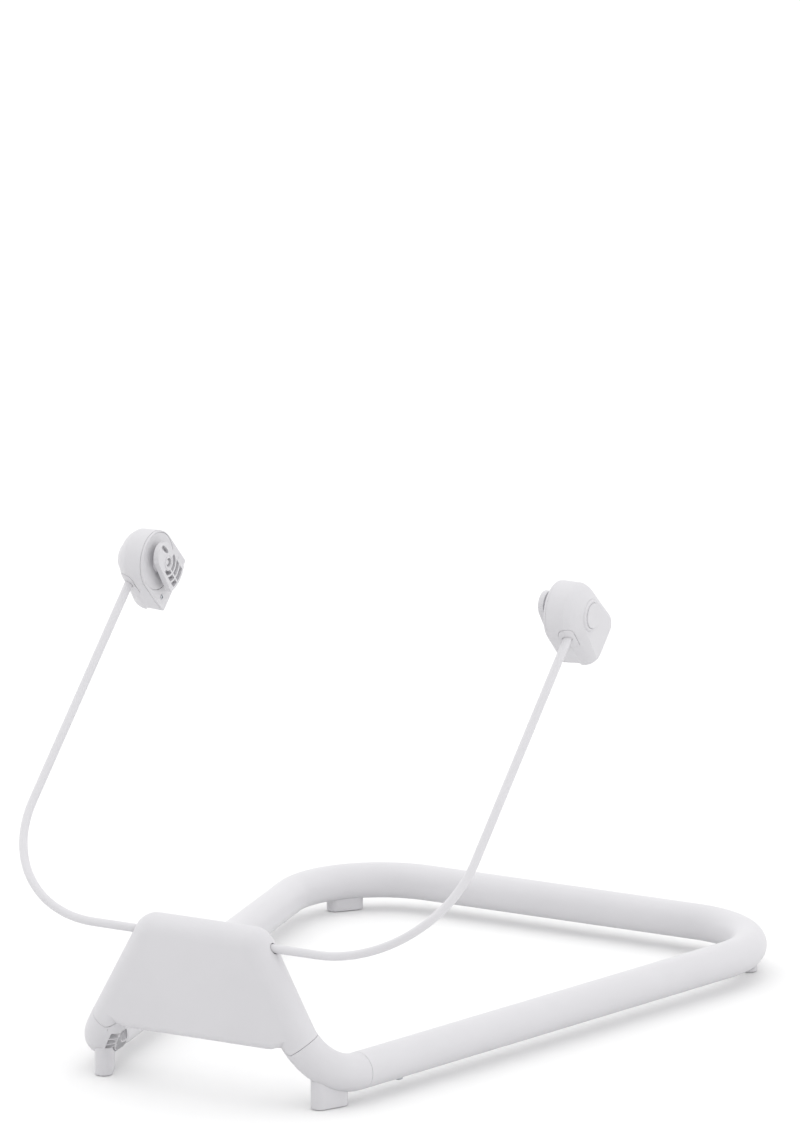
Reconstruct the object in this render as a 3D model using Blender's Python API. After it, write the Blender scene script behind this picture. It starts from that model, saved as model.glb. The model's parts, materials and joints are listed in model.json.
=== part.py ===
"""Baby bouncer stand: a floor frame, a moulded housing and a U-shaped spring rod with two seat hubs.

Blender 4.5, metres, +Z up. X runs left to right, Y from the housing to the rear tube, and the floor
is Z = 0. Sizes along Y are given from the front feet; at the end everything moves forward so that the
origin lies on the floor in the middle of the whole.
Run it with: blender --background --python part.py
"""
import math

import bmesh
import bpy
from mathutils import Matrix, Vector

# Clearances
FIT = 0.0003                 # between pieces that touch, and round anything that slides
ROD_HOLE_PLAY = 0.0009       # round the rod where it leaves the housing, so it can flex
CUT_PAST = 0.002             # how far a cutter runs past a face that it opens
JOIN_DEEP = 0.001            # how far a joined form reaches into what carries it

# Floor frame
TUBE_OD = 0.038
TUBE_WALL = 0.0015
TUBE_AXIS_Z = 0.031
SIDE_AXIS_X = 0.1364         # side tube axis at Y = 0
SIDE_SPLAY = math.radians(12.0)
REAR_AXIS_Y = 0.7144
REAR_BEND_R = 0.1021
TUBE_JOINT_Y = 0.0342        # where tube and elbow meet
ELBOW_START_Y = 0.0300       # where the elbow starts to bend
ELBOW_R = 0.0583
ELBOW_LEAN = math.radians(32.4)   # lean of the housing's sides, inwards
HOUSING_JOINT = 0.83         # share of the elbow's bend that lies below the housing
PLUG_LENGTH = 0.075          # the elbow's plug inside the tube
NECK_LENGTH = 0.016          # and inside the housing
POCKET_ROWS = 2              # open pockets between the ribs on the elbow's inner side
POCKET_COLUMNS = 5
POCKET_RIB = 0.0016
POCKET_LIP = 0.0035
POCKET_SPREAD = 0.0103       # the pockets' reach to each side of the elbow's axis

# Housing
HOUSING_WALL = 0.0025
HOUSING_TOP_AXIS_Z = 0.1598  # axis of the rounded top edge
HOUSING_CORNER_R = 0.007     # bend of that axis at the top corners
HOUSING_BOTTOM_DROP = 0.0021 # level bottom edge below the elbow joint's middle
HOUSING_BOTTOM_R = 0.006
HOUSING_FOOT_IN = 0.0319     # from that joint in to the end of the level edge
HOUSING_FLANK_UP = 0.0089    # from the joint up to where the plate meets the side edge
HOUSING_WAVE = ((0.0, 0.0), (0.0065, 0.0008), (0.0125, 0.0036), (0.0175, 0.0058))
PLATE_STEP = 0.0002          # the flat faces lie this far behind the round edge
COLLAR_TOP_UP = 0.0229       # the whole collar ends this far above the joint, inside the housing
COVER_T = 0.0024
COVER_INSET = 0.0035
COVER_LOW_UP = 0.0104        # the cover's lower edge above the joint
COVER_SHOULDER = 0.010       # its slanted lower corners
COVER_CORNER = 0.0040        # and its small upper ones
BOSS_R = 0.0045
BOSS_X = (0.038, 0.062)      # upper and lower cover bosses
BOSS_Z = (0.1330, 0.0860)

# Spring rod
ROD_D = 0.0087
ROD_BASE_Z = 0.1596
ROD_ARM_X = 0.2552
ROD_BEND_R = 0.1265
ROD_TILT = math.radians(45.1)
HUB_REACH = 0.4226           # from the rod's base axis to the hub's axis
ROD_TIP_GAP = 0.0180         # from the hub's axis down to the rod's end
CLAMP_X = 0.034
CLAMP_W = 0.014
CLAMP_H = 0.030
CLAMP_DEPTH = 0.0095
CLAMP_DROP = 0.0050          # the clamp's middle below the rod
CLAMP_SCREW_DROP = 0.0070    # clamp screw below the rod

# Feet
FOOT_HALF_STRAIGHT = 0.0112
FOOT_R = 0.0091
FOOT_SINK = 0.0110           # how far a foot reaches up past the tube's underside
PAD_T = 0.0022
PAD_PROUD = 0.0008
PAD_INSET = 0.0020
FOOT_STUD_R = 0.0035
FOOT_STUD_UP = 0.0070
FRONT_FOOT_Y = 0.0
FRONT_FOOT_TURN = math.radians(64.0)
REAR_FOOT_TURN = math.radians(38.0)    # round the rear bend, from the rear tube's direction

# Snap buttons under the side tubes
SNAP_Y = 0.0920
SNAP_R = 0.0044
SNAP_PROUD = 0.0028
SNAP_TRAVEL = 0.0030
SNAP_BODY_R = 0.0058
SNAP_BODY_T = 0.0030
SNAP_LEDGE = 0.0022          # of the plug, under the button's flange
SNAP_SPRING_SPACE = 0.0158   # left for the spring when the button is pushed right in

# Hubs: X is the distance across the stand, e runs up the rod and n square to it, down and back
HUB_IN_X = 0.2330
HUB_COVER_T = 0.0025
HUB_COVER_R = 0.0309
HUB_COVER_FLAT = 0.0452      # from the hub's axis to the cover's flat end
HUB_PROFILE = (              # X, round end's radius, flat end, half widths there (upper, lower), corners
    (0.2358, 0.0312, 0.0462, 0.0309, 0.0310, 0.0030, 0.0030),
    (0.2522, 0.0310, 0.0454, 0.0306, 0.0306, 0.0040, 0.0035),
    (0.2550, 0.0308, 0.0485, 0.0304, 0.0311, 0.0060, 0.0050),
    (0.2578, 0.0295, 0.0488, 0.0300, 0.0307, 0.0080, 0.0055),
    (0.2612, 0.0274, 0.0486, 0.0290, 0.0298, 0.0095, 0.0060),
    (0.2645, 0.0242, 0.0480, 0.0272, 0.0284, 0.0105, 0.0065),
    (0.2672, 0.0206, 0.0471, 0.0249, 0.0265, 0.0110, 0.0070),
    (0.2692, 0.0180, 0.0458, 0.0226, 0.0244, 0.0110, 0.0070),
    (0.2703, 0.0164, 0.0442, 0.0206, 0.0226, 0.0100, 0.0065),
)
HUB_HOLLOW_ROWS = (0, 1, 2, 3, 4, 5)
HUB_WALL = 0.0026
BUTTON_R = 0.0136
BUTTON_FACE_X = 0.2738
BUTTON_BACK_X = 0.2690
BUTTON_LIP = 0.0010          # the flange stands out under the rim by this
BUTTON_TRAVEL = 0.0028
BUTTON_PIN_R = 0.0028
BUTTON_PIN_END_X = 0.2225
RIM_TOP_X = 0.2724
RIM_T = 0.0011
RIM_PROFILE = ((0.2650, 0.0196), (0.2680, 0.0178), (0.2700, 0.0168), (0.2713, 0.0161), (RIM_TOP_X, 0.0153))
WELL_WALL = 0.0015
BUTTON_SPRING_SPACE = 0.0132 # left for the spring when the button is pushed right in
WELL_FLOOR_X = BUTTON_BACK_X - BUTTON_TRAVEL - BUTTON_SPRING_SPACE
WELL_FLOOR_T = 0.0026
BEARING_R = 0.0086
BEARING_WALL = 0.0026
BEARING_END_X = 0.2412
HUB_COVER_CORNER = 0.0012
EDGE = 0.0005                # small broken edges
SOCKET_END_E = 0.0022        # the socket's end beyond the rod's tip
DISC_SET = 0.0001            # the disc's face behind the cover's
DISC_R = 0.0296
DISC_T = 0.0024
JOURNAL_END_X = WELL_FLOOR_X + 0.0042
RING_T = 0.0010
RING_R = 0.0102
RING_X = WELL_FLOOR_X + 0.0006
RING_GROOVE = 0.0009
RING_MOUTH = 0.0016
CAM_R = 0.0255
CAM_T = 0.0042
CAM_NOTCHES = (-24.0, -12.0, 0.0, 12.0, 24.0)
CAM_DEPTH = 0.0006
CAM_NOTCH_R = 0.0016
STRAP_FACE_X = 0.2205
STRAP_T = 0.0060
STRAP_HALF_W = 0.0138        # at the centre of its round end
STRAP_ROUND_S = -0.0100
STRAP_FLARE = math.radians(4.7)
STRAP_END_R = 0.0320
STRAP_TILT = math.radians(4.8)
STRAP_STEM_R = 0.0105
STRAP_BORE_R = 0.0052
STRAP_BORE_DEPTH = 0.0085
STRAP_FLOOR = 0.0016
STRAP_BANDS = ((0.0086, 0.0130), (0.0146, 0.0200), (0.0216, 0.0278))
STRAP_COLUMNS = ((-0.0122, -0.0046), (-0.0030, 0.0122))
DETENT_W = 0.0036
DETENT_T = 0.0008
DETENT_HALF_E = 0.0110
DETENT_N = 0.0290
DETENT_SEAT = 0.0028         # half width of the posts that hold its ends
DETENT_GAP = 0.0006          # from the cover's side to the leaf
SPRING_WIRE = 0.0008
BUTTON_SPRING_R = 0.0122
BUTTON_SPRING_TURNS = 3
SNAP_SPRING_R = 0.0040
SNAP_SPRING_TURNS = 3
ROD_COLLAR_HALF_X = 0.0076
ROD_COLLAR_TOP_N = -0.0125
ROD_COLLAR_LEG_N = 0.0130
ROD_COLLAR_PLAY = 0.0010     # round the rod, so that the arm can flex
ROD_COLLAR_PROUD = 0.0004
ROD_COLLAR_DEPTH = 0.0030     # its seat follows the hub's surface, this far below it
HUB_REACH_OUT = 0.0400       # from the hub's axis to well outside its side, for cutters along the rod
SOCKET_WALL = 0.0018
ROD_PIN_R = 0.0018
ROD_PIN_UP = 0.0080          # its reach above the rod's axis
ROD_PIN_E = -0.0222
TAB_SCREW_E = 0.0229
TAB_SCREW_N = 0.0320
TAB_BOSS_R = 0.0040
TAB_SCREW_DEEP = 0.0105      # pilot hole behind the cover

# Screws
SCREW_R = 0.0017
SCREW_HEAD_R = 0.0034
SCREW_HEAD_H = 0.0020
SCREW_SOCKET_R = 0.0015
SCREW_SEAT = 0.0012          # recess of a head in its cover
COVER_SCREW_LENGTH = 0.0120
CLAMP_SCREW_LENGTH = 0.0190
HUB_SCREW_LENGTH = 0.0115

# Facets
TUBE_SIDES = 20
BORE_SIDES = 12
ROD_SIDES = 12
WELL_SIDES = 16
DISC_SIDES = 32
BEND_STEP = math.radians(9.0)

# Worked out from the sizes above
TUBE_R = TUBE_OD / 2
ROD_R = ROD_D / 2
PLATE_HALF = TUBE_R - PLATE_STEP
TUBE_FLATS = math.cos(math.pi / TUBE_SIDES)      # a faceted bore's flats, as a share of its radius
SIDE_BACK = Vector((math.sin(SIDE_SPLAY), math.cos(SIDE_SPLAY), 0.0))
SIDE_UP = Vector((-math.sin(ELBOW_LEAN), 0.0, math.cos(ELBOW_LEAN)))
ROD_E = Vector((0.0, math.cos(ROD_TILT), math.sin(ROD_TILT)))
ROD_N = Vector((0.0, math.sin(ROD_TILT), -math.cos(ROD_TILT)))
X_AXIS = Vector((1.0, 0.0, 0.0))
Y_AXIS = Vector((0.0, 1.0, 0.0))
Z_AXIS = Vector((0.0, 0.0, 1.0))
HUB_E = Vector((0.0, 1.0, 0.0))      # e and n while a hub piece is made, before it is turned into place
HUB_N = Vector((0.0, 0.0, -1.0))
SIDES = (("right", 1), ("left", -1))


def side_point(y):
    """A point on the right side tube's axis."""
    return Vector((SIDE_AXIS_X + y * math.tan(SIDE_SPLAY), y, TUBE_AXIS_Z))


def bend(start, d_in, d_out, radius, share=1.0, step=BEND_STEP):
    """Stations (point, direction) round a bend, or round its first share."""
    d_in, d_out = d_in.normalized(), d_out.normalized()
    turn = d_in.angle(d_out)
    side = (d_out - d_in * d_in.dot(d_out)).normalized()
    count = max(2, math.ceil(turn * share / step))
    stations = []
    for i in range(count + 1):
        a = turn * share * i / count
        point = start + d_in * radius * math.sin(a) + side * radius * (1 - math.cos(a))
        stations.append((point, d_in * math.cos(a) + side * math.sin(a)))
    return stations


ELBOW_BEND = bend(side_point(ELBOW_START_Y), -SIDE_BACK, SIDE_UP, ELBOW_R)
ELBOW_TOP = ELBOW_BEND[-1][0]
HOUSING_Y = ELBOW_TOP.y
JOINT_BEND = bend(side_point(ELBOW_START_Y), -SIDE_BACK, SIDE_UP, ELBOW_R, HOUSING_JOINT)
JOINT_POINT, JOINT_DIR = JOINT_BEND[-1]
HOUSING_BOTTOM_Z = JOINT_POINT.z - HOUSING_BOTTOM_DROP
HOUSING_FOOT_X = JOINT_POINT.x - HOUSING_FOOT_IN
COLLAR_TOP_Z = JOINT_POINT.z + COLLAR_TOP_UP
COVER_LOW_Z = JOINT_POINT.z + COVER_LOW_UP
FLANGE_Z = -TUBE_R + TUBE_WALL + SNAP_LEDGE       # the snap button's flange, from the tube's axis
SNAP_NEST_TOP = FLANGE_Z + SNAP_BODY_T + SNAP_SPRING_SPACE + SNAP_TRAVEL
ROD_BASE = Vector((0.0, HOUSING_Y, ROD_BASE_Z))
HUB_CENTRE = ROD_BASE + ROD_E * HUB_REACH
SOCKET_HALF_X = ROD_COLLAR_HALF_X + SOCKET_WALL
SOCKET_TOP_N = ROD_COLLAR_TOP_N - SOCKET_WALL
SOCKET_LOW_N = ROD_COLLAR_LEG_N + SOCKET_WALL
SOCKET_END = SOCKET_END_E - ROD_TIP_GAP
HUB_PLACE = Matrix.Translation(HUB_CENTRE) @ Matrix.Rotation(ROD_TILT, 4, "X")
MIDDLE_Y = (HOUSING_Y + REAR_AXIS_Y) / 2


# Mesh helpers
def clear_scene():
    for obj in list(bpy.data.objects):
        bpy.data.objects.remove(obj, do_unlink=True)


def make_material(name, colour, roughness, metallic=0.0):
    mat = bpy.data.materials.new(name)
    mat.use_nodes = True
    shader = mat.node_tree.nodes["Principled BSDF"]
    shader.inputs["Base Color"].default_value = (*colour, 1.0)
    shader.inputs["Roughness"].default_value = roughness
    shader.inputs["Metallic"].default_value = metallic
    return mat


def to_object(name, bm):
    """A bmesh as a linked object with its faces pointing out."""
    bmesh.ops.recalc_face_normals(bm, faces=bm.faces)
    mesh = bpy.data.meshes.new(name)
    bm.to_mesh(mesh)
    bm.free()
    obj = bpy.data.objects.new(name, mesh)
    bpy.context.scene.collection.objects.link(obj)
    return obj


def combine(obj, tool, operation):
    """Cut a bmesh or object from an object, join it on or keep what both share, and bake the result."""
    if isinstance(tool, bmesh.types.BMesh):
        tool = to_object("tool", tool)
    mod = obj.modifiers.new(operation.title(), "BOOLEAN")
    mod.operation = operation
    mod.solver = "EXACT"
    mod.object = tool
    bpy.context.view_layer.update()
    graph = bpy.context.evaluated_depsgraph_get()
    mesh = bpy.data.meshes.new_from_object(obj.evaluated_get(graph))
    obj.modifiers.clear()
    obj.data = mesh
    bpy.data.objects.remove(tool, do_unlink=True)
    return obj


def cut(obj, tool):
    return combine(obj, tool, "DIFFERENCE")


def join(obj, tool):
    return combine(obj, tool, "UNION")


def finish(obj, mat, origin=None, sharp=32.0):
    """Material, smooth shading with sharp edges, and the origin on the piece's own reference point."""
    bm = bmesh.new()
    bm.from_mesh(obj.data)
    bmesh.ops.remove_doubles(bm, verts=bm.verts, dist=0.000002)
    bmesh.ops.dissolve_degenerate(bm, edges=bm.edges, dist=0.000002)
    bm.to_mesh(obj.data)
    bm.free()
    obj.data.materials.clear()
    obj.data.materials.append(mat)
    obj.data.shade_smooth()
    obj.data.set_sharp_from_angle(angle=math.radians(sharp))
    if origin is not None:
        obj.data.transform(Matrix.Translation(-origin))
        obj.location = origin
    return obj


def circle(centre, direction, radius, sides, start=X_AXIS):
    """A ring of points square to a direction."""
    direction = direction.normalized()
    if abs(direction.dot(start)) > 0.99:
        start = Z_AXIS
    u = (start - direction * start.dot(direction)).normalized()
    v = direction.cross(u)
    step = 2 * math.pi / sides
    return [centre + (u * math.cos(i * step) + v * math.sin(i * step)) * radius for i in range(sides)]


def loft(rings, close=False):
    """Faces between rings of equal count, with the ends capped, or the last ring joined to the first."""
    bm = bmesh.new()
    rows = [[bm.verts.new(p) for p in ring] for ring in rings]
    count = len(rows[0])
    pairs = list(zip(rows, rows[1:]))
    if close:
        pairs.append((rows[-1], rows[0]))
    for a, b in pairs:
        for i in range(count):
            j = (i + 1) % count
            bm.faces.new((a[i], a[j], b[j], b[i]))
    if not close:
        bm.faces.new(rows[0][::-1])
        bm.faces.new(rows[-1])
    return bm


def sweep(stations, radii, sides, start=None):
    """A solid round bar along stations (point, direction), with a radius for each."""
    rings = []
    guide = start or X_AXIS
    for (point, direction), radius in zip(stations, radii):
        guide = (guide - direction * guide.dot(direction)).normalized()
        rings.append(circle(point, direction, radius, sides, guide))
    return loft(rings)


def rod_between(a, b, radius, sides=16):
    return sweep([(a, b - a), (b, b - a)], [radius, radius], sides, (b - a).orthogonal())


def turned(centre, direction, profile, sides, start=X_AXIS):
    """A solid of revolution from (distance along, radius) pairs."""
    direction = direction.normalized()
    return loft([circle(centre + direction * s, direction, r, sides, start) for s, r in profile])


def turned_ring(centre, direction, profile, sides, start=X_AXIS):
    """A ring of revolution from a closed loop of (distance along, radius) pairs."""
    direction = direction.normalized()
    rings = [circle(centre + direction * s, direction, r, sides, start) for s, r in profile]
    return loft(rings, close=True)


def block(centre, size, axes=None):
    """A box with its sizes along three axes."""
    axes = axes or (X_AXIS, Y_AXIS, Z_AXIS)
    bm = bmesh.new()
    bmesh.ops.create_cube(bm, size=1.0)
    for vert in bm.verts:
        vert.co = centre + sum((axis * c * s for axis, c, s in zip(axes, vert.co, size)), Vector())
    return bm


def prism(outline, direction, low, high):
    """An outline of points carried along a direction from one distance to another."""
    return loft([[p + direction * low for p in outline], [p + direction * high for p in outline]])


def arc(centre, u, v, radius, a0, a1, steps):
    angles = [a0 + (a1 - a0) * i / steps for i in range(steps + 1)]
    return [centre + (u * math.cos(a) + v * math.sin(a)) * radius for a in angles]


def mirrored(bm):
    """The other side's copy of a bmesh made for the right side."""
    bm.transform(Matrix.Scale(-1.0, 4, X_AXIS))
    bmesh.ops.reverse_faces(bm, faces=bm.faces)
    return bm


def on_side(bm, sign):
    return bm if sign > 0 else mirrored(bm)


def flip(point, sign):
    return Vector((point.x * sign, point.y, point.z))


# Floor frame
def rear_tube():
    """The bent steel tube: both sides and the back in one piece, open at its front ends."""
    turn_in = -X_AXIS
    angle = SIDE_BACK.angle(turn_in)
    reach = REAR_BEND_R * math.tan(angle / 2)
    corner = side_point(REAR_AXIS_Y)
    start = side_point(TUBE_JOINT_Y) + SIDE_BACK * FIT / 2
    right = [(start, SIDE_BACK)] + bend(corner - SIDE_BACK * reach, SIDE_BACK, turn_in, REAR_BEND_R)
    left = [(flip(p, -1), Vector((d.x, -d.y, 0.0))) for p, d in reversed(right)]
    stations = right + left
    rings_out, rings_in = [], []
    for point, direction in stations:
        rings_out.append(circle(point, direction, TUBE_R, TUBE_SIDES, Z_AXIS))
        rings_in.append(circle(point, direction, TUBE_R - TUBE_WALL, TUBE_SIDES, Z_AXIS))
    obj = to_object("rear_tube", loft(rings_out + rings_in[::-1], close=True))
    for _, sign in SIDES:
        hole = flip(side_point(SNAP_Y), sign)
        cut(obj, rod_between(hole, hole - Z_AXIS * TUBE_R * 1.2, SNAP_R + FIT, BORE_SIDES))
        foot, _ = foot_place("rear", sign)
        low = Vector((foot.x, foot.y, TUBE_AXIS_Z))
        cut(obj, rod_between(low, low - Z_AXIS * TUBE_R * 1.2, FOOT_STUD_R + FIT, BORE_SIDES))
    return obj


def elbow_stations():
    """The elbow's axis from the end inside the tube to the end inside the housing."""
    low = side_point(TUBE_JOINT_Y)
    joint = [(low + SIDE_BACK * PLUG_LENGTH, -SIDE_BACK), (low - SIDE_BACK * FIT / 2, -SIDE_BACK)]
    body = JOINT_BEND
    upper = bend(JOINT_POINT, JOINT_DIR, SIDE_UP, ELBOW_R)
    return joint, body, upper


def elbow_body(extra=0.0):
    """Only the elbow's outer skin, grown by an extra, for cutting what seats on it."""
    joint, body, upper = elbow_stations()
    stations = [(joint[0][0], joint[0][1])] + body + upper[1:]
    return sweep(stations, [TUBE_R + extra] * len(stations), TUBE_SIDES, Z_AXIS)


def elbow(name, sign):
    """A moulded elbow: plug for the tube, bend, plug for the housing, and open ribbing inside."""
    joint, body, upper = elbow_stations()
    plug_r = TUBE_R - TUBE_WALL - FIT
    neck_r = (TUBE_R - HOUSING_WALL) * TUBE_FLATS - FIT
    top_end = upper[-1][0] + SIDE_UP * max(0.0, NECK_LENGTH - ELBOW_R * JOINT_DIR.angle(SIDE_UP))
    end = (JOINT_POINT - JOINT_DIR * FIT / 2, JOINT_DIR)
    stations = [(joint[0][0], joint[0][1]), joint[1], joint[1]] + body[:-1] + [end, end] + upper[1:]
    radii = [plug_r, plug_r, TUBE_R] + [TUBE_R] * (len(body) - 1) + [TUBE_R, neck_r]
    radii += [neck_r] * (len(upper) - 1)
    stations.append((top_end, SIDE_UP))
    radii.append(neck_r)
    obj = to_object(name, on_side(sweep(stations, radii, TUBE_SIDES, Z_AXIS), sign))
    for pocket in elbow_pockets():
        cut(obj, on_side(pocket, sign))
    nest = snap_nest()
    cut(obj, on_side(nest, sign))
    foot, _ = foot_place("front", 1)
    stud_low = Vector((foot.x, foot.y, 0.0))
    stud = rod_between(stud_low, stud_low + Z_AXIS * (FOOT_TOP["front"] + FOOT_STUD_UP + FIT),
                       FOOT_STUD_R + FIT, BORE_SIDES)
    cut(obj, on_side(stud, sign))
    return obj


def elbow_pockets():
    """Cutters for the open pockets on the elbow's inner side, between ribs across the bend."""
    axis_side = (SIDE_UP - SIDE_BACK * SIDE_BACK.dot(SIDE_UP)).normalized()
    across = SIDE_BACK.cross(axis_side).normalized()
    if across.x > 0:
        across = -across
    start = side_point(ELBOW_START_Y)
    centre = start + axis_side * ELBOW_R
    turn = (-SIDE_BACK).angle(SIDE_UP) * HOUSING_JOINT
    margin = POCKET_LIP / ELBOW_R
    pitch = (turn - 2 * margin) / POCKET_COLUMNS
    pockets = []
    for column in range(POCKET_COLUMNS):
        a0 = margin + column * pitch + POCKET_RIB / ELBOW_R / 2
        a1 = margin + (column + 1) * pitch - POCKET_RIB / ELBOW_R / 2
        for row in range(POCKET_ROWS):
            r0 = -POCKET_SPREAD + POCKET_RIB / 2 if row == 0 else POCKET_RIB / 2
            r1 = -POCKET_RIB / 2 if row == 0 else POCKET_SPREAD
            rings = []
            for depth in (TUBE_R + CUT_PAST, 0.0):
                ring = []
                for a, r in ((a0, r0), (a1, r0), (a1, r1), (a0, r1)):
                    out = -SIDE_BACK * math.sin(a) - axis_side * math.cos(a)
                    ring.append(centre + out * (ELBOW_R + r) + across * depth)
                rings.append(ring)
            pockets.append(loft(rings))
    return pockets


def snap_nest():
    """The bore in the elbow's plug that holds a snap button and its spring."""
    point = side_point(SNAP_Y)
    profile = ((-TUBE_R, SNAP_R + FIT), (FLANGE_Z - FIT, SNAP_R + FIT), (FLANGE_Z - FIT, SNAP_BODY_R + FIT),
               (SNAP_NEST_TOP, SNAP_BODY_R + FIT))
    return turned(point, Z_AXIS, profile, BORE_SIDES)


def snap_button(name, sign):
    point = flip(side_point(SNAP_Y), sign)
    tip = -TUBE_R - SNAP_PROUD
    dome = SNAP_R * 0.41
    profile = ((tip, SNAP_R * 0.55), (tip + dome * 0.39, SNAP_R * 0.85), (tip + dome, SNAP_R),
               (FLANGE_Z, SNAP_R), (FLANGE_Z, SNAP_BODY_R), (FLANGE_Z + SNAP_BODY_T, SNAP_BODY_R))
    return to_object(name, turned(point, Z_AXIS, profile, BORE_SIDES))


def coil(low, high, radius, turns, wire):
    """Stations of a closed-end coil between two points, with the wire's own radius kept inside."""
    axis = (high - low).normalized()
    length = (high - low).length - wire
    u = axis.orthogonal().normalized()
    v = axis.cross(u)
    per_turn = 12
    points = []
    total = turns * per_turn
    for i in range(total + 1):
        t = i / total
        a = 2 * math.pi * turns * t
        points.append(low + axis * (wire / 2 + length * t) + (u * math.cos(a) + v * math.sin(a)) * radius)
    stations = []
    for i, point in enumerate(points):
        a = points[max(0, i - 1)]
        b = points[min(total, i + 1)]
        stations.append((point, (b - a).normalized()))
    return stations


def coil_spring(name, low, high, radius, turns, wire):
    stations = coil(low, high, radius, turns, wire)
    return to_object(name, sweep(stations, [wire / 2] * len(stations), 6, (high - low).normalized()))


def snap_spring(name, sign):
    point = flip(side_point(SNAP_Y), sign)
    low = point + Z_AXIS * (FLANGE_Z + SNAP_BODY_T + FIT)
    high = point + Z_AXIS * (SNAP_NEST_TOP - FIT)
    return coil_spring(name, low, high, SNAP_SPRING_R, SNAP_SPRING_TURNS, SPRING_WIRE)


# Feet
def rear_bend_point(turn):
    """A point on the rear bend's axis, and its direction, at an angle from the rear tube."""
    angle = SIDE_BACK.angle(-X_AXIS)
    reach = REAR_BEND_R * math.tan(angle / 2)
    corner = side_point(REAR_AXIS_Y)
    centre = Vector((corner.x - reach, REAR_AXIS_Y - REAR_BEND_R, TUBE_AXIS_Z))
    point = centre + Vector((math.sin(turn), math.cos(turn), 0.0)) * REAR_BEND_R
    return point, Vector((-math.cos(turn), math.sin(turn), 0.0))


def front_axis_point():
    """The point on the elbow's axis that is over the front foot."""
    stations = JOINT_BEND
    for (a, da), (b, db) in zip(stations, stations[1:]):
        if a.y >= FRONT_FOOT_Y >= b.y:
            t = (a.y - FRONT_FOOT_Y) / (a.y - b.y)
            return a.lerp(b, t)
    return side_point(FRONT_FOOT_Y)


def foot_place(where, sign):
    if where == "front":
        point = front_axis_point()
        direction = Vector((math.cos(FRONT_FOOT_TURN), math.sin(FRONT_FOOT_TURN), 0.0))
    else:
        turn = math.radians(90.0) - REAR_FOOT_TURN
        point, direction = rear_bend_point(turn)
    return flip(point, sign), flip(direction, sign)


def stadium(centre, direction, half, radius, z, steps=8):
    """A long round-ended outline on the floor plan."""
    direction = direction.normalized()
    across = Z_AXIS.cross(direction)
    base = Vector((centre.x, centre.y, z))
    points = arc(base + direction * half, direction, across, radius, -math.pi / 2, math.pi / 2, steps)
    points += arc(base - direction * half, direction, across, radius, math.pi / 2, 1.5 * math.pi, steps)
    return points


FOOT_TOP = {
    "front": front_axis_point().z - TUBE_R,
    "rear": TUBE_AXIS_Z - TUBE_R,
}


def foot(name, where, sign):
    """A foot: an oblong post saddled to the tube, with a stud into it and a recess for its pad."""
    point, direction = foot_place(where, sign)
    top = FOOT_TOP[where] + FOOT_SINK
    low = PAD_PROUD
    rings = [stadium(point, direction, FOOT_HALF_STRAIGHT, FOOT_R - 0.0006, low),
             stadium(point, direction, FOOT_HALF_STRAIGHT, FOOT_R, low + 0.0006),
             stadium(point, direction, FOOT_HALF_STRAIGHT, FOOT_R, top)]
    obj = to_object(name, loft(rings))
    if where == "front":
        cut(obj, on_side(elbow_body(FIT), sign))
    else:
        angle = SIDE_BACK.angle(-X_AXIS)
        reach = REAR_BEND_R * math.tan(angle / 2)
        corner = side_point(REAR_AXIS_Y)
        stations = [(corner - SIDE_BACK * (reach + TUBE_OD), SIDE_BACK)]
        stations += bend(corner - SIDE_BACK * reach, SIDE_BACK, -X_AXIS, REAR_BEND_R)
        stations.append((stations[-1][0] - X_AXIS * TUBE_OD, -X_AXIS))
        cut(obj, on_side(sweep(stations, [TUBE_R + FIT] * len(stations), TUBE_SIDES, Z_AXIS), sign))
    recess = stadium(point, direction, FOOT_HALF_STRAIGHT, FOOT_R - PAD_INSET + FIT, 0.0)
    cut(obj, prism(recess, Z_AXIS, -0.001, PAD_T + FIT))
    stud_low = Vector((point.x, point.y, PAD_T + FIT + 0.0015))
    stud_high = Vector((point.x, point.y, FOOT_TOP[where] + FOOT_STUD_UP))
    join(obj, rod_between(stud_low, stud_high, FOOT_STUD_R, BORE_SIDES))
    return obj, point


def foot_pad(name, where, sign):
    point, direction = foot_place(where, sign)
    radius = FOOT_R - PAD_INSET
    rings = [stadium(point, direction, FOOT_HALF_STRAIGHT, radius - 0.0004, 0.0),
             stadium(point, direction, FOOT_HALF_STRAIGHT, radius, 0.0004),
             stadium(point, direction, FOOT_HALF_STRAIGHT, radius, PAD_T)]
    return to_object(name, loft(rings)), point


# Housing
def housing_path():
    """Stations of the rounded edge's axis, from the right joint over the top to the left joint."""
    start = JOINT_POINT + JOINT_DIR * FIT / 2
    right = [(start, JOINT_DIR)] + bend(JOINT_POINT, JOINT_DIR, SIDE_UP, ELBOW_R)[1:]
    rise = (HOUSING_TOP_AXIS_Z - ELBOW_TOP.z) / SIDE_UP.z
    corner = ELBOW_TOP + SIDE_UP * rise
    reach = HOUSING_CORNER_R * math.tan(SIDE_UP.angle(-X_AXIS) / 2)
    right += bend(corner - SIDE_UP * reach, SIDE_UP, -X_AXIS, HOUSING_CORNER_R, step=math.radians(9.0))
    left = [(flip(p, -1), Vector((d.x, -d.y, -d.z))) for p, d in reversed(right)]
    return right + left


def housing_edge(radius, past=0.0):
    """The round bar along the housing's sides and top, run past its lower ends if asked."""
    stations = housing_path()
    if past:
        (p0, d0), (p1, d1) = stations[0], stations[-1]
        stations = [(p0 - d0 * past, d0)] + stations[1:-1] + [(p1 + d1 * past, d1)]
    front = Vector((0.0, -1.0, 0.0))
    return sweep(stations, [radius] * len(stations), TUBE_SIDES, front)


def side_x(z, inset=0.0):
    """X of the side edge's axis at a height, drawn in by an inset square to it."""
    return ELBOW_TOP.x - (z - ELBOW_TOP.z) * math.tan(ELBOW_LEAN) - inset / math.cos(ELBOW_LEAN)


def both_sides(right):
    return right + [(-x, z) for x, z in reversed(right)]


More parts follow.
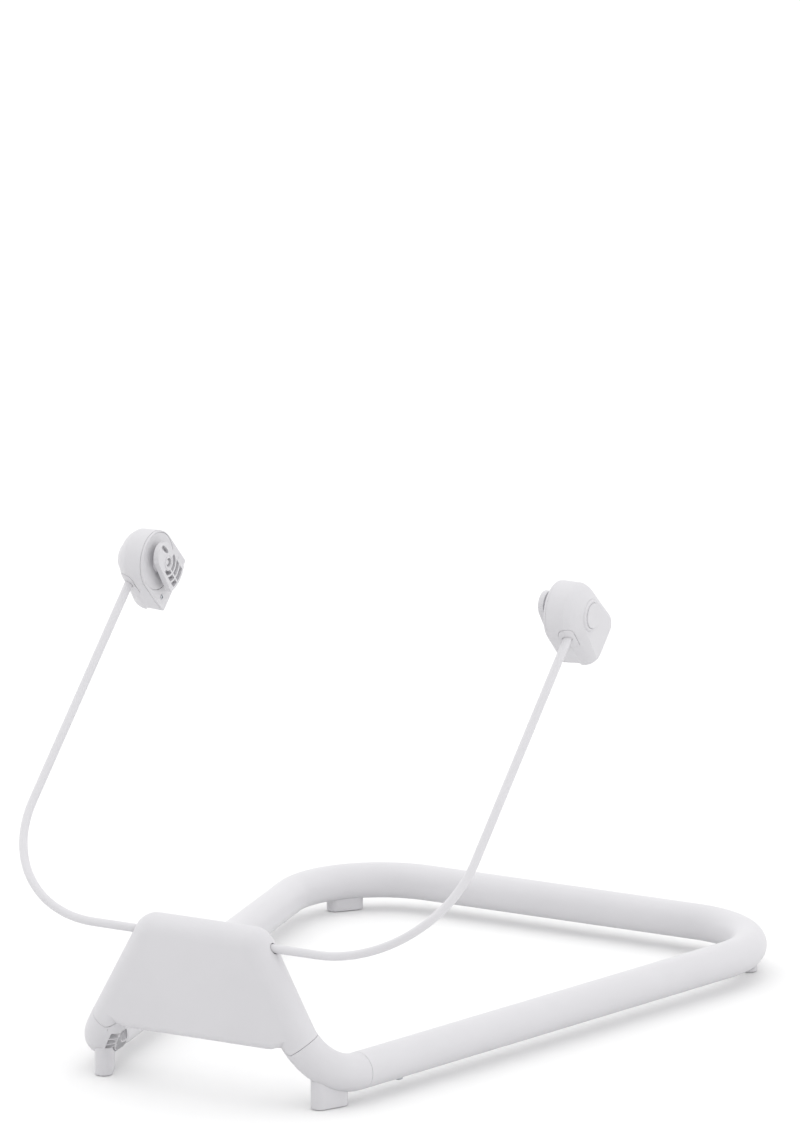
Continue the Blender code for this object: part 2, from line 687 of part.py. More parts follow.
def on_slab(points, depth):
    return [Vector((x, HOUSING_Y + depth, z)) for x, z in points]


def housing_plate():
    """The flat body between the round edges, with a rounded lower edge that dips to the collars."""
    top = HOUSING_TOP_AXIS_Z
    lower = [(HOUSING_FOOT_X + dx, HOUSING_BOTTOM_Z - dz) for dx, dz in HOUSING_WAVE]
    flank = JOINT_POINT.z + HOUSING_FLANK_UP
    right = lower + [(side_x(flank), flank), (side_x(top), top)]
    rings = []
    quarter = [math.radians(a) for a in (0.0, 22.5, 45.0, 67.5, 90.0)]
    steps = [(-1, a) for a in quarter] + [(1, a) for a in reversed(quarter)]
    for side, a in steps:
        depth = side * (PLATE_HALF - HOUSING_BOTTOM_R * (1 - math.cos(a)))
        lift = HOUSING_BOTTOM_R * (1 - math.sin(a))
        raised = [(x, z + lift) for x, z in lower] + right[len(lower):]
        rings.append(on_slab(both_sides(raised), depth))
    return loft(rings)


def housing_hollow():
    """The space between the walls, which leaves the collars whole."""
    top = HOUSING_TOP_AXIS_Z
    clear = TUBE_R
    low = HOUSING_BOTTOM_Z + HOUSING_WALL
    shoulder = COLLAR_TOP_Z
    right = [(side_x(low, clear + 0.004), low), (side_x(shoulder, clear), shoulder),
             (side_x(shoulder + 0.006, 0.0), shoulder + 0.006), (side_x(top), top)]
    half = PLATE_HALF - HOUSING_WALL
    return loft([on_slab(both_sides(right), -half), on_slab(both_sides(right), half)])


def cover_outline(shrink):
    """The rear cover's outline: parallel to the housing's sides, cut off above the collars."""
    inset = COVER_INSET + shrink
    top = HOUSING_TOP_AXIS_Z - shrink
    low = COVER_LOW_Z + shrink
    shoulder = COLLAR_TOP_Z + COVER_SHOULDER + shrink
    right = [(side_x(low, TUBE_R + COVER_SHOULDER + shrink), low), (side_x(shoulder, inset), shoulder),
             (side_x(top - COVER_CORNER, inset), top - COVER_CORNER),
             (side_x(top, inset + COVER_CORNER), top)]
    return both_sides(right)


def housing():
    """The main moulding: front, sides and top in one shell, with collars, bosses and rod cradles."""
    y = Y_AXIS
    obj = to_object("housing", housing_plate())
    join(obj, housing_edge(TUBE_R))
    cut(obj, housing_hollow())
    cut(obj, housing_edge(TUBE_R - HOUSING_WALL, past=TUBE_R / 2))
    for _, sign in SIDES:
        seam = JOINT_POINT + JOINT_DIR * FIT / 2
        cut(obj, on_side(rod_between(seam, seam - JOINT_DIR * TUBE_OD, TUBE_R + FIT, TUBE_SIDES), sign))
    opening = cover_outline(0.0)
    cut(obj, loft([on_slab(opening, PLATE_HALF - HOUSING_WALL - JOIN_DEEP), on_slab(opening, TUBE_OD)]))
    front = -PLATE_HALF + HOUSING_WALL / 2
    seat = PLATE_HALF - COVER_T - FIT
    for _, sign in SIDES:
        cradle = Vector((sign * CLAMP_X, HOUSING_Y + (front - FIT) / 2, ROD_BASE_Z - CLAMP_DROP))
        join(obj, block(cradle, (CLAMP_W, -front - FIT, CLAMP_H)))
        for bx, bz in zip(BOSS_X, BOSS_Z):
            foot_end = Vector((sign * bx, HOUSING_Y + front, bz))
            head_end = Vector((sign * bx, HOUSING_Y + seat, bz))
            join(obj, rod_between(foot_end, head_end, BOSS_R, BORE_SIDES))
            pilot_end = head_end - y * COVER_SCREW_LENGTH
            cut(obj, rod_between(pilot_end, head_end + y * CUT_PAST, SCREW_R + FIT, 8))
        dz = -ROD_R - CLAMP_SCREW_DROP
        pilot = Vector((sign * CLAMP_X, HOUSING_Y, ROD_BASE_Z + dz))
        cut(obj, rod_between(pilot - y * (CLAMP_SCREW_LENGTH - CLAMP_DEPTH + CUT_PAST), pilot + y * CUT_PAST,
                             SCREW_R + FIT, 8))
    reach = X_AXIS * (CLAMP_X + CLAMP_W / 2 + CUT_PAST)
    cut(obj, rod_between(ROD_BASE - reach, ROD_BASE + reach, ROD_R + FIT, BORE_SIDES))
    for _, sign in SIDES:
        out = ROD_BASE + X_AXIS * (side_x(ROD_BASE_Z) + TUBE_OD)
        cut(obj, on_side(rod_between(ROD_BASE + reach, out, ROD_R + ROD_HOLE_PLAY, BORE_SIDES), sign))
    return obj


def housing_cover():
    """The rear cover, seated in the housing's back opening and screwed to its bosses."""
    y = Y_AXIS
    outline = cover_outline(FIT)
    rings = [on_slab(outline, PLATE_HALF - COVER_T), on_slab(outline, PLATE_HALF)]
    obj = to_object("housing_cover", loft(rings))
    for _, sign in SIDES:
        for bx, bz in zip(BOSS_X, BOSS_Z):
            centre = Vector((sign * bx, HOUSING_Y + PLATE_HALF, bz))
            cut(obj, rod_between(centre - y * (COVER_T + CUT_PAST), centre + y * CUT_PAST, SCREW_R + FIT, 8))
            seat = centre - y * SCREW_SEAT
            cut(obj, rod_between(seat, centre + y * CUT_PAST, SCREW_HEAD_R + FIT, BORE_SIDES))
    return obj


def rod_clamp(name, sign):
    """A clamp block that closes a cradle over the rod's base."""
    depth = CLAMP_DEPTH - FIT
    centre = Vector((sign * CLAMP_X, HOUSING_Y + FIT + depth / 2, ROD_BASE_Z - CLAMP_DROP))
    obj = to_object(name, block(centre, (CLAMP_W, depth, CLAMP_H)))
    reach = X_AXIS * (CLAMP_X + CLAMP_W)
    cut(obj, rod_between(ROD_BASE - reach, ROD_BASE + reach, ROD_R + FIT, BORE_SIDES))
    pilot = clamp_screw_at(sign)
    y = Y_AXIS
    cut(obj, rod_between(pilot - y * CUT_PAST, pilot + y * (CLAMP_DEPTH + CUT_PAST), SCREW_R + FIT, 8))
    return obj


def clamp_screw_at(sign):
    return Vector((sign * CLAMP_X, HOUSING_Y, ROD_BASE_Z - ROD_R - CLAMP_SCREW_DROP))


def screw(name, head_top, direction, length):
    """A pan-head screw with a recess, its head's top at a point and its shank along a direction."""
    edge = SCREW_HEAD_H / 4
    profile = ((0.0, SCREW_HEAD_R - edge), (edge, SCREW_HEAD_R), (SCREW_HEAD_H, SCREW_HEAD_R),
               (SCREW_HEAD_H, SCREW_R), (length - SCREW_R, SCREW_R), (length, SCREW_R * 0.4))
    obj = to_object(name, turned(head_top, direction, profile, 8, direction.orthogonal()))
    deep = direction * SCREW_HEAD_H * 0.6
    cut(obj, rod_between(head_top - direction * CUT_PAST, head_top + deep, SCREW_SOCKET_R, 6))
    return obj


# Spring rod
def spring_rod():
    """The one bent rod: a level base, two corners and two straight arms, cross-drilled at its tips."""
    tip = ROD_BASE + X_AXIS * ROD_ARM_X + ROD_E * (HUB_REACH - ROD_TIP_GAP)
    corner = ROD_BASE + X_AXIS * ROD_ARM_X
    right = [(tip, -ROD_E), (tip - ROD_E * 0.010, -ROD_E)]
    right += bend(corner + ROD_E * ROD_BEND_R, -ROD_E, -X_AXIS, ROD_BEND_R, step=math.radians(7.5))
    left = [(flip(p, -1), Vector((d.x, -d.y, -d.z))) for p, d in reversed(right)]
    stations = right + left
    obj = to_object("spring_rod", sweep(stations, [ROD_R] * len(stations), ROD_SIDES, ROD_N))
    for _, sign in SIDES:
        pin = HUB_CENTRE + X_AXIS * ROD_ARM_X + ROD_E * ROD_PIN_E
        across_rod = ROD_N * ROD_D
        cut(obj, on_side(rod_between(pin - across_rod, pin + across_rod, ROD_PIN_R + FIT, 8), sign))
    return obj


# Hubs, all made for the right side and mirrored for the left
def at_hub(x, e=0.0, n=0.0):
    """A point from its X, and its e and n from the hub's axis, while the piece is made."""
    return X_AXIS * x + HUB_E * e + HUB_N * n


def tombstone(x, radius, flat, upper, lower, upper_corner, lower_corner):
    """An outline with a round end, and a flat end with rounded corners."""
    points = arc(at_hub(x), HUB_E, HUB_N, radius, math.pi, 2 * math.pi, 11)
    for side, half, corner, a in ((1, upper, upper_corner, 0.0), (-1, lower, lower_corner, math.pi / 2)):
        turn = at_hub(x, side * (half - corner), flat - corner)
        points += arc(turn, HUB_E, HUB_N, corner, a, a + math.pi / 2, 3)
    return points


def plate_outline(x, radius, flat, corner):
    return tombstone(x, radius, flat, radius, radius, corner, corner)


def hub_form(grow=0.0):
    rows = []
    for x, radius, flat, upper, lower, c_up, c_low in HUB_PROFILE:
        rows.append(tombstone(x, radius + grow, flat + grow, upper + grow, lower + grow, c_up, c_low))
    return loft(rows)


def across(x0, x1, radius, sides=16, e=0.0, n=0.0):
    """A round bar along X at the hub."""
    return rod_between(at_hub(x0, e, n), at_hub(x1, e, n), radius, sides)


def hub_block(x0, x1, e0, e1, n0, n1):
    centre = at_hub((x0 + x1) / 2, (e0 + e1) / 2, (n0 + n1) / 2)
    return block(centre, (x1 - x0, e1 - e0, n1 - n0), (X_AXIS, HUB_E, HUB_N))


def collar_arch(grow, e0, e1):
    """The arch of the rod collar, as a solid along e."""
    half = ROD_COLLAR_HALF_X + grow
    turn = ROD_COLLAR_TOP_N - grow + half
    points = arc(at_hub(ROD_ARM_X, 0.0, turn), X_AXIS, HUB_N, half, math.pi, 2 * math.pi, 8)
    points += [at_hub(ROD_ARM_X + half, 0.0, ROD_COLLAR_LEG_N + grow),
               at_hub(ROD_ARM_X - half, 0.0, ROD_COLLAR_LEG_N + grow)]
    return prism(points, HUB_E, e0, e1)


def hub_hollow():
    """The space inside the shell's wall, less the well, bearing, socket, bosses and spring seats."""
    rows = []
    for i in HUB_HOLLOW_ROWS:
        x, radius, flat, upper, lower, c_up, c_low = HUB_PROFILE[i]
        x = HUB_IN_X if i == 0 else x
        corners = [max(c - HUB_WALL, HUB_WALL / 2) for c in (c_up, c_low)]
        sizes = [size - HUB_WALL for size in (radius, flat, upper, lower)]
        rows.append(tombstone(x, *sizes, *corners))
    hollow = to_object("hollow", loft(rows))
    rim_x = HUB_PROFILE[0][0]
    well_r = BUTTON_R + BUTTON_LIP + FIT + WELL_WALL
    cut(hollow, across(WELL_FLOOR_X - WELL_FLOOR_T, BUTTON_FACE_X, well_r, TUBE_SIDES))
    cut(hollow, across(BEARING_END_X, WELL_FLOOR_X, BEARING_R + BEARING_WALL, WELL_SIDES))
    cut(hollow, hub_block(ROD_ARM_X - SOCKET_HALF_X, BUTTON_FACE_X, -HUB_REACH_OUT, SOCKET_END,
                          SOCKET_TOP_N, SOCKET_LOW_N))
    for e in (-TAB_SCREW_E, TAB_SCREW_E):
        cut(hollow, across(rim_x, BUTTON_FACE_X, TAB_BOSS_R, 10, e, TAB_SCREW_N))
    seat_in = DETENT_N - DETENT_SEAT
    seat_out = DETENT_N + DETENT_SEAT + DETENT_T / 2
    for e in (-DETENT_HALF_E, DETENT_HALF_E):
        cut(hollow, hub_block(rim_x + DETENT_W + DETENT_GAP, BUTTON_FACE_X, e - DETENT_SEAT, e + DETENT_SEAT,
                              seat_in, seat_out))
        cut(hollow, hub_block(rim_x + FIT, BUTTON_FACE_X, e - DETENT_SEAT, e + DETENT_SEAT,
                              DETENT_N + DETENT_T / 2 + FIT, seat_out))
    return hollow


def hub_shell(name, sign):
    """The hub's outer moulding, with the button's well, the adapter's bearing and the rod's socket."""
    rim_x = HUB_PROFILE[0][0]
    well_r = BUTTON_R + BUTTON_LIP + FIT
    obj = to_object(name, hub_form())
    join(obj, turned(at_hub(0.0), X_AXIS, RIM_PROFILE, TUBE_SIDES))
    cut(obj, hub_hollow())
    cut(obj, across(WELL_FLOOR_X, RIM_TOP_X - RIM_T, well_r, TUBE_SIDES))
    cut(obj, across(WELL_FLOOR_X + CUT_PAST, BUTTON_FACE_X + CUT_PAST, BUTTON_R + FIT, TUBE_SIDES))
    cut(obj, across(BEARING_END_X - CUT_PAST, WELL_FLOOR_X + JOIN_DEEP, BEARING_R, WELL_SIDES))
    for e in (-TAB_SCREW_E, TAB_SCREW_E):
        cut(obj, across(rim_x - CUT_PAST, rim_x + TAB_SCREW_DEEP, SCREW_R + FIT, 8, e, TAB_SCREW_N))
    tip = at_hub(ROD_ARM_X, -ROD_TIP_GAP + FIT)
    cut(obj, rod_between(tip - HUB_E * HUB_REACH_OUT, tip, ROD_R + FIT, ROD_SIDES))
    pin = at_hub(ROD_ARM_X, ROD_PIN_E)
    low = at_hub(ROD_ARM_X, ROD_PIN_E, SOCKET_LOW_N + CUT_PAST)
    cut(obj, rod_between(pin - HUB_N * (ROD_PIN_UP + FIT), low, ROD_PIN_R + FIT, 8))
    seat = to_object("seat", collar_arch(FIT, -HUB_REACH_OUT, SOCKET_END))
    cut(obj, cut(seat, hub_form(-ROD_COLLAR_DEPTH)))
    return as_side(obj, sign)


def as_side(obj, sign):
    """Mirror a hub piece for the left side if asked, and turn it into its place at the rod's tip."""
    if sign < 0:
        bm = bmesh.new()
        bm.from_mesh(obj.data)
        mirrored(bm).to_mesh(obj.data)
        bm.free()
    obj.data.transform(HUB_PLACE)
    return obj


def hub_point(x, e, n, sign):
    """A point of a hub in its final place."""
    return flip(HUB_PLACE @ at_hub(x, e, n), sign)


def hub_cover(name, sign):
    """The hub's inner plate, with the round opening the adapter's disc turns in."""
    x1 = HUB_IN_X + HUB_COVER_T
    rows = [plate_outline(x, HUB_COVER_R - d, HUB_COVER_FLAT - d, HUB_COVER_CORNER)
            for x, d in ((HUB_IN_X, EDGE), (HUB_IN_X + EDGE, 0.0), (x1, 0.0))]
    obj = to_object(name, loft(rows))
    cut(obj, across(HUB_IN_X - CUT_PAST, x1 + CUT_PAST, DISC_R + FIT, DISC_SIDES))
    for e in (-TAB_SCREW_E, TAB_SCREW_E):
        cut(obj, across(HUB_IN_X - CUT_PAST, x1 + CUT_PAST, SCREW_R + FIT, 8, e, TAB_SCREW_N))
        cut(obj, across(HUB_IN_X - CUT_PAST, HUB_IN_X + SCREW_SEAT, SCREW_HEAD_R + FIT, 10, e, TAB_SCREW_N))
    return as_side(obj, sign)


def strap_point(x, w, s):
    """A point on the adapter's strap: w across it, s along it to its wide end."""
    e = w * math.cos(STRAP_TILT) - s * math.sin(STRAP_TILT)
    n = w * math.sin(STRAP_TILT) + s * math.cos(STRAP_TILT)
    return at_hub(x, e, n)


def strap_half(s):
    return STRAP_HALF_W + (s - STRAP_ROUND_S) * math.tan(STRAP_FLARE)


def strap_outline(x, inset=0.0):
    points = []
    for i in range(11):
        a = math.pi + math.pi * i / 10
        radius = STRAP_HALF_W - inset
        points.append(strap_point(x, radius * math.cos(a), STRAP_ROUND_S + radius * math.sin(a)))
    end_r = STRAP_END_R - inset
    half = strap_half(end_r * 0.86) - inset
    for i in range(9):
        w = half * (1 - 2 * i / 8)
        points.append(strap_point(x, w, math.sqrt(end_r ** 2 - w ** 2)))
    return points


def strap_pocket(band, column):
    """A pocket between two arcs about the hub's axis and two ribs along the strap."""
    r0, r1 = band
    w0, w1 = column
    steps = 3 if w1 < 0 else 5
    inner, outer = [], []
    for i in range(steps + 1):
        w = w0 + (w1 - w0) * i / steps
        outer.append((w, math.sqrt(max(r1 ** 2 - w ** 2, 0.0))))
        inner.append((w, math.sqrt(max(r0 ** 2 - w ** 2, 0.0015 ** 2))))
    inner = [(w, min(a, b - 0.0018)) for (w, a), (_, b) in zip(inner, outer)]
    ring = inner + outer[::-1]
    x0, x1 = STRAP_FACE_X - CUT_PAST, STRAP_FACE_X + STRAP_T - STRAP_FLOOR
    return loft([[strap_point(x, w, s) for w, s in ring] for x in (x0, x1)])


def seat_adapter(name, sign):
    """The turning adapter: ribbed strap, stem, disc, detent cam and journal in one moulding."""
    x0 = STRAP_FACE_X
    rows = [strap_outline(x0, EDGE), strap_outline(x0 + EDGE), strap_outline(x0 + STRAP_T)]
    obj = to_object(name, loft(rows))
    disc_x = HUB_IN_X + DISC_SET
    journal_r = BEARING_R - FIT
    groove = RING_X - FIT
    profile = ((x0 + STRAP_T - JOIN_DEEP, STRAP_STEM_R), (disc_x, STRAP_STEM_R), (disc_x, DISC_R),
               (disc_x + DISC_T, DISC_R), (disc_x + DISC_T, CAM_R), (disc_x + DISC_T + CAM_T, CAM_R),
               (disc_x + DISC_T + CAM_T, journal_r), (groove, journal_r), (groove, journal_r - RING_GROOVE),
               (RING_X + RING_T + FIT, journal_r - RING_GROOVE), (RING_X + RING_T + FIT, journal_r),
               (JOURNAL_END_X - EDGE, journal_r), (JOURNAL_END_X, journal_r - EDGE))
    join(obj, turned(at_hub(0.0), X_AXIS, profile, TUBE_SIDES))
    for band in STRAP_BANDS:
        for column in STRAP_COLUMNS:
            cut(obj, strap_pocket(band, column))
    slot = []
    for e, n in ((0.0050, -0.0195), (0.0022, -0.0205), (0.0004, -0.0165), (0.0006, -0.0120),
                 (0.0036, -0.0118), (0.0036, -0.0160)):
        slot.append(strap_point(x0, e, n))
    cut(obj, prism(slot, X_AXIS, -CUT_PAST, STRAP_T - STRAP_FLOOR))
    cut(obj, across(x0 - CUT_PAST, x0 + STRAP_BORE_DEPTH, STRAP_BORE_R, BORE_SIDES))
    cut(obj, across(x0, JOURNAL_END_X + CUT_PAST, BUTTON_PIN_R + FIT, 12))
    for degrees in CAM_NOTCHES:
        a = math.radians(degrees)
        x1 = disc_x + DISC_T
        out = HUB_N * math.cos(a) - HUB_E * math.sin(a)
        centre = out * (CAM_R + CAM_NOTCH_R - CAM_DEPTH)
        low = centre + X_AXIS * (x1 + FIT)
        cut(obj, rod_between(low, low + X_AXIS * (CAM_T + CUT_PAST), CAM_NOTCH_R, 8))
    return as_side(obj, sign)


def release_button(name, sign):
    """The round push button, with its flange behind the rim and a rod through the adapter."""
    under_rim = RIM_TOP_X - RIM_T - FIT
    profile = ((BUTTON_PIN_END_X, BUTTON_PIN_R - EDGE), (BUTTON_PIN_END_X + EDGE, BUTTON_PIN_R),
               (BUTTON_BACK_X, BUTTON_PIN_R), (BUTTON_BACK_X, BUTTON_R + BUTTON_LIP),
               (under_rim, BUTTON_R + BUTTON_LIP), (under_rim, BUTTON_R), (BUTTON_FACE_X - EDGE, BUTTON_R),
               (BUTTON_FACE_X, BUTTON_R - EDGE * 2))
    return as_side(to_object(name, turned(at_hub(0.0), X_AXIS, profile, TUBE_SIDES)), sign)


def button_spring(name, sign):
    low, high = at_hub(WELL_FLOOR_X + FIT), at_hub(BUTTON_BACK_X - FIT)
    stations = coil(low, high, BUTTON_SPRING_R, BUTTON_SPRING_TURNS, SPRING_WIRE)
    obj = to_object(name, sweep(stations, [SPRING_WIRE / 2] * len(stations), 5, X_AXIS))
    return as_side(obj, sign)


def retaining_ring(name, sign):
    inner = BEARING_R - RING_GROOVE
    loop = ((RING_X, inner), (RING_X, RING_R), (RING_X + RING_T, RING_R), (RING_X + RING_T, inner))
    obj = to_object(name, turned_ring(at_hub(0.0), X_AXIS, loop, WELL_SIDES))
    x0, x1 = RING_X - CUT_PAST, RING_X + RING_T + CUT_PAST
    cut(obj, hub_block(x0, x1, 0.0, RING_R + CUT_PAST, -RING_MOUTH, RING_MOUTH))
    return as_side(obj, sign)


def detent_spring(name, sign):
    """A leaf whose middle bows towards the cam."""
    t = DETENT_T / 2
    low = CAM_R + FIT + t - DETENT_N
    shape = ((-1.18, 0.0), (-0.62, 0.0), (-0.34, 0.42), (-0.14, 0.92), (0.0, 1.0),
             (0.14, 0.92), (0.34, 0.42), (0.62, 0.0), (1.18, 0.0))
    middle = [(DETENT_HALF_E * f, DETENT_N + low * g) for f, g in shape]
    ring = [(e, n + t) for e, n in middle] + [(e, n - t) for e, n in reversed(middle)]
    x0 = HUB_PROFILE[0][0] + DETENT_GAP
    obj = to_object(name, loft([[at_hub(x, e, n) for e, n in ring] for x in (x0, x0 + DETENT_W)]))
    return as_side(obj, sign)


def rod_collar(name, sign):
    """The U-shaped insert round the rod where it enters the hub."""
    obj = to_object(name, collar_arch(0.0, -HUB_REACH_OUT, SOCKET_END))
    combine(obj, hub_form(ROD_COLLAR_PROUD), "INTERSECT")
    cut(obj, hub_form(FIT - ROD_COLLAR_DEPTH))
    axis = at_hub(ROD_ARM_X)
    cut(obj, rod_between(axis - HUB_E * HUB_REACH_OUT * 1.2, axis, ROD_R + ROD_COLLAR_PLAY, ROD_SIDES))
    return as_side(obj, sign)


def rod_pin(name, sign):
    """The cross pin through the rod's tip and the hub's socket."""
    pin = at_hub(ROD_ARM_X, ROD_PIN_E)
    low = at_hub(ROD_ARM_X, ROD_PIN_E, SOCKET_LOW_N - FIT)
    return as_side(to_object(name, rod_between(pin - HUB_N * ROD_PIN_UP, low, ROD_PIN_R, 8)), sign)


def main():
    clear_scene()
    steel = make_material("white_powder_coated_steel", (0.78, 0.78, 0.79), 0.42)
    plastic = make_material("white_moulded_plastic", (0.74, 0.74, 0.75), 0.45)
    zinc = make_material("zinc_plated_steel", (0.62, 0.63, 0.65), 0.35, 1.0)
    rubber = make_material("light_grey_rubber", (0.55, 0.55, 0.56), 0.8)
    y = Y_AXIS
    finish(rear_tube(), steel)
    finish(housing(), plastic)
    finish(housing_cover(), plastic)
    finish(spring_rod(), steel, ROD_BASE)
    for side, sign in SIDES:
        finish(elbow(f"elbow_{side}", sign), plastic)
        button_at = flip(side_point(SNAP_Y), sign)
        finish(snap_button(f"snap_button_{side}", sign), zinc, button_at)
        finish(snap_spring(f"snap_spring_{side}", sign), zinc)
        for where in ("front", "rear"):
            obj, point = foot(f"foot_{where}_{side}", where, sign)
            finish(obj, plastic, Vector((point.x, point.y, 0.0)))
            obj, point = foot_pad(f"foot_pad_{where}_{side}", where, sign)
            finish(obj, rubber, Vector((point.x, point.y, 0.0)))
        finish(rod_clamp(f"rod_clamp_{side}", sign), plastic)
        head = clamp_screw_at(sign) + y * (CLAMP_DEPTH + FIT + SCREW_HEAD_H)
        finish(screw(f"clamp_screw_{side}", head, -y, CLAMP_SCREW_LENGTH), zinc)
        for place, bx, bz in zip(("upper", "lower"), BOSS_X, BOSS_Z):
            head = Vector((sign * bx, HOUSING_Y + PLATE_HALF - SCREW_SEAT + FIT + SCREW_HEAD_H, bz))
            finish(screw(f"cover_screw_{place}_{side}", head, -y, COVER_SCREW_LENGTH), zinc)
        hub_at = hub_point(HUB_IN_X, 0.0, 0.0, sign)
        finish(hub_shell(f"hub_shell_{side}", sign), plastic, hub_at)
        finish(hub_cover(f"hub_cover_{side}", sign), plastic, hub_at)
        finish(seat_adapter(f"seat_adapter_{side}", sign), plastic, hub_at)
        finish(release_button(f"release_button_{side}", sign), plastic, hub_at)
        finish(button_spring(f"button_spring_{side}", sign), zinc)
        finish(retaining_ring(f"retaining_ring_{side}", sign), zinc, hub_at)
        finish(detent_spring(f"detent_spring_{side}", sign), zinc)
        finish(rod_collar(f"rod_collar_{side}", sign), plastic)
        finish(rod_pin(f"rod_pin_{side}", sign), zinc)
        for place, e in (("low", -TAB_SCREW_E), ("high", TAB_SCREW_E)):
            head = hub_point(HUB_IN_X + SCREW_SEAT - FIT - SCREW_HEAD_H, e, TAB_SCREW_N, sign)
            finish(screw(f"hub_screw_{place}_{side}", head, X_AXIS * sign, HUB_SCREW_LENGTH), zinc)
    for obj in bpy.data.objects:
        obj.location.y -= MIDDLE_Y


main()
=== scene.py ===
# %% [markdown]
# # Dressing a baby bouncer stand
# The stand is a bent steel tube on four feet, a moulded housing at its narrow end, and one long
# U-shaped spring rod with a round hub at each tip. Everything on it is white, so the picture lives
# from form, seams and soft light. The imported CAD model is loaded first, and each piece made here
# stands for one or more of its nodes, in the same place.

# %% Load the frame
import json
import math

import bmesh
import bpy
from mathutils import Matrix, Vector


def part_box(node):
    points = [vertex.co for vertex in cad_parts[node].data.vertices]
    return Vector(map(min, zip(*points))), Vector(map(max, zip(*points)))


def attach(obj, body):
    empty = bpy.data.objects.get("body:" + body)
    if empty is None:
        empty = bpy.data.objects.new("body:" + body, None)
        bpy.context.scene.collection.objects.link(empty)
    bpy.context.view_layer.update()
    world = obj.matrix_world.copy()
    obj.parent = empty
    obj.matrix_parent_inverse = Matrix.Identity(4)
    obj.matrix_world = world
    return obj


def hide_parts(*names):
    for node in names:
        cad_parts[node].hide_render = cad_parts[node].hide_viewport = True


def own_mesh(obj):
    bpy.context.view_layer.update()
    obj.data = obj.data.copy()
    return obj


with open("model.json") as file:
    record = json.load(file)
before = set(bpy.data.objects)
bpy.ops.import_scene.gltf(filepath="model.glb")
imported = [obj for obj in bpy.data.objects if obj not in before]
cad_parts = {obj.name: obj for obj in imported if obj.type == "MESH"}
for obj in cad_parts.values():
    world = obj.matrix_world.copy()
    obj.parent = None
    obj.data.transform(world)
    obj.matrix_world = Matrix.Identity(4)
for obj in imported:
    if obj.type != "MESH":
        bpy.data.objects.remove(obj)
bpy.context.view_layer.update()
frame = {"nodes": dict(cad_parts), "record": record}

# %% [markdown]
# ## Sizes
# The frame's real sizes in metres, as in the CAD model, except that the housing's sides stand a few
# degrees steeper here. X runs across the stand, Y from the housing to the rear tube, Z up.
# Naming the sizes once lets every later cell follow the same tube.

# %% Sizes of the frame
MM = 0.001
FRONT_Y = -346.7048 * MM              # the front feet; lengths along the stand count from here
TUBE_R = 19.0 * MM
TUBE_WALL = 1.5 * MM
TUBE_Z = 31.0 * MM
ROUND = 64                            # sides of a large round form
SIDE_X = 136.4 * MM                   # side tube axis beside the front feet
SPLAY = math.radians(12.0)
REAR_Y = 714.4 * MM
REAR_BEND = 102.1 * MM
ELBOW_Y = 30.0 * MM                   # where the side tube's line starts to bend up
ELBOW_BEND = 58.3 * MM
LEAN = math.radians(32.4)             # how far the elbows' own bend leans inwards
FLANK_LEAN = math.radians(28.8)       # the housing's sides stand a little steeper
JOINT_SHARE = 0.853                   # share of the elbow's bend that lies below the housing
FIT = 0.3 * MM
X = Vector((1, 0, 0))
Y = Vector((0, 1, 0))
Z = Vector((0, 0, 1))
BACK = Vector((math.sin(SPLAY), math.cos(SPLAY), 0))
LEANING = Vector((-math.sin(LEAN), 0, math.cos(LEAN)))
FLANK = Vector((-math.sin(FLANK_LEAN), 0, math.cos(FLANK_LEAN)))
SIDES = (("right", 1), ("left", -1))


def side_point(y):
    """A point on the right side tube's axis, y behind the front feet."""
    return Vector((SIDE_X + y * math.tan(SPLAY), FRONT_Y + y, TUBE_Z))


def other_side(point, sign):
    return Vector((point.x * sign, point.y, point.z))


def bend(start, along, towards, radius, share=1.0, step=math.radians(3.0)):
    """Stations (point, direction) round a bend, or round its first share."""
    along, towards = along.normalized(), towards.normalized()
    turn = along.angle(towards)
    side = (towards - along * along.dot(towards)).normalized()
    count = max(3, math.ceil(turn * share / step))
    stations = []
    for i in range(count + 1):
        a = turn * share * i / count
        place = start + along * radius * math.sin(a) + side * radius * (1 - math.cos(a))
        stations.append((place, along * math.cos(a) + side * math.sin(a)))
    return stations


# The elbow bends towards its own lean as far as the joint. From there the line turns on to the
# housing's side, with the radius that keeps the housing's middle plane where it is.
seam_bend = bend(side_point(ELBOW_Y), -BACK, LEANING, ELBOW_BEND, JOINT_SHARE)
seam, seam_way = seam_bend[-1]
MID_Y = bend(seam, seam_way, LEANING, ELBOW_BEND)[-1][0].y
upper_reach = bend(Vector(), seam_way, FLANK, 1.0)[-1][0].y
upper_bend = bend(seam, seam_way, FLANK, (MID_Y - seam.y) / upper_reach)
elbow_top = upper_bend[-1][0]
print("housing's middle plane at y =", round(MID_Y, 4), "seam at", [round(v, 4) for v in seam])

# %% [markdown]
# ## Helpers for meshes
# Bars, sleeves and moulded blocks are all rows of points joined by faces. One loft function makes
# them, Blender's exact Boolean joins and cuts them, and a finishing step merges stray points, shades
# the form smoothly and keeps real edges sharp.


# %% Mesh helpers
STRAY = 0.002 * MM                    # points nearer to each other than this become one


def linked(name, data):
    """A new object, in the scene."""
    obj = bpy.data.objects.new(name, data)
    bpy.context.scene.collection.objects.link(obj)
    return obj


def to_object(name, bm):
    bmesh.ops.recalc_face_normals(bm, faces=bm.faces)
    mesh = bpy.data.meshes.new(name)
    bm.to_mesh(mesh)
    bm.free()
    return linked(name, mesh)


def baked(obj):
    """Turn an object's modifiers into plain mesh."""
    bpy.context.view_layer.update()
    graph = bpy.context.evaluated_depsgraph_get()
    mesh = bpy.data.meshes.new_from_object(obj.evaluated_get(graph), depsgraph=graph)
    obj.modifiers.clear()
    obj.data = mesh
    return obj


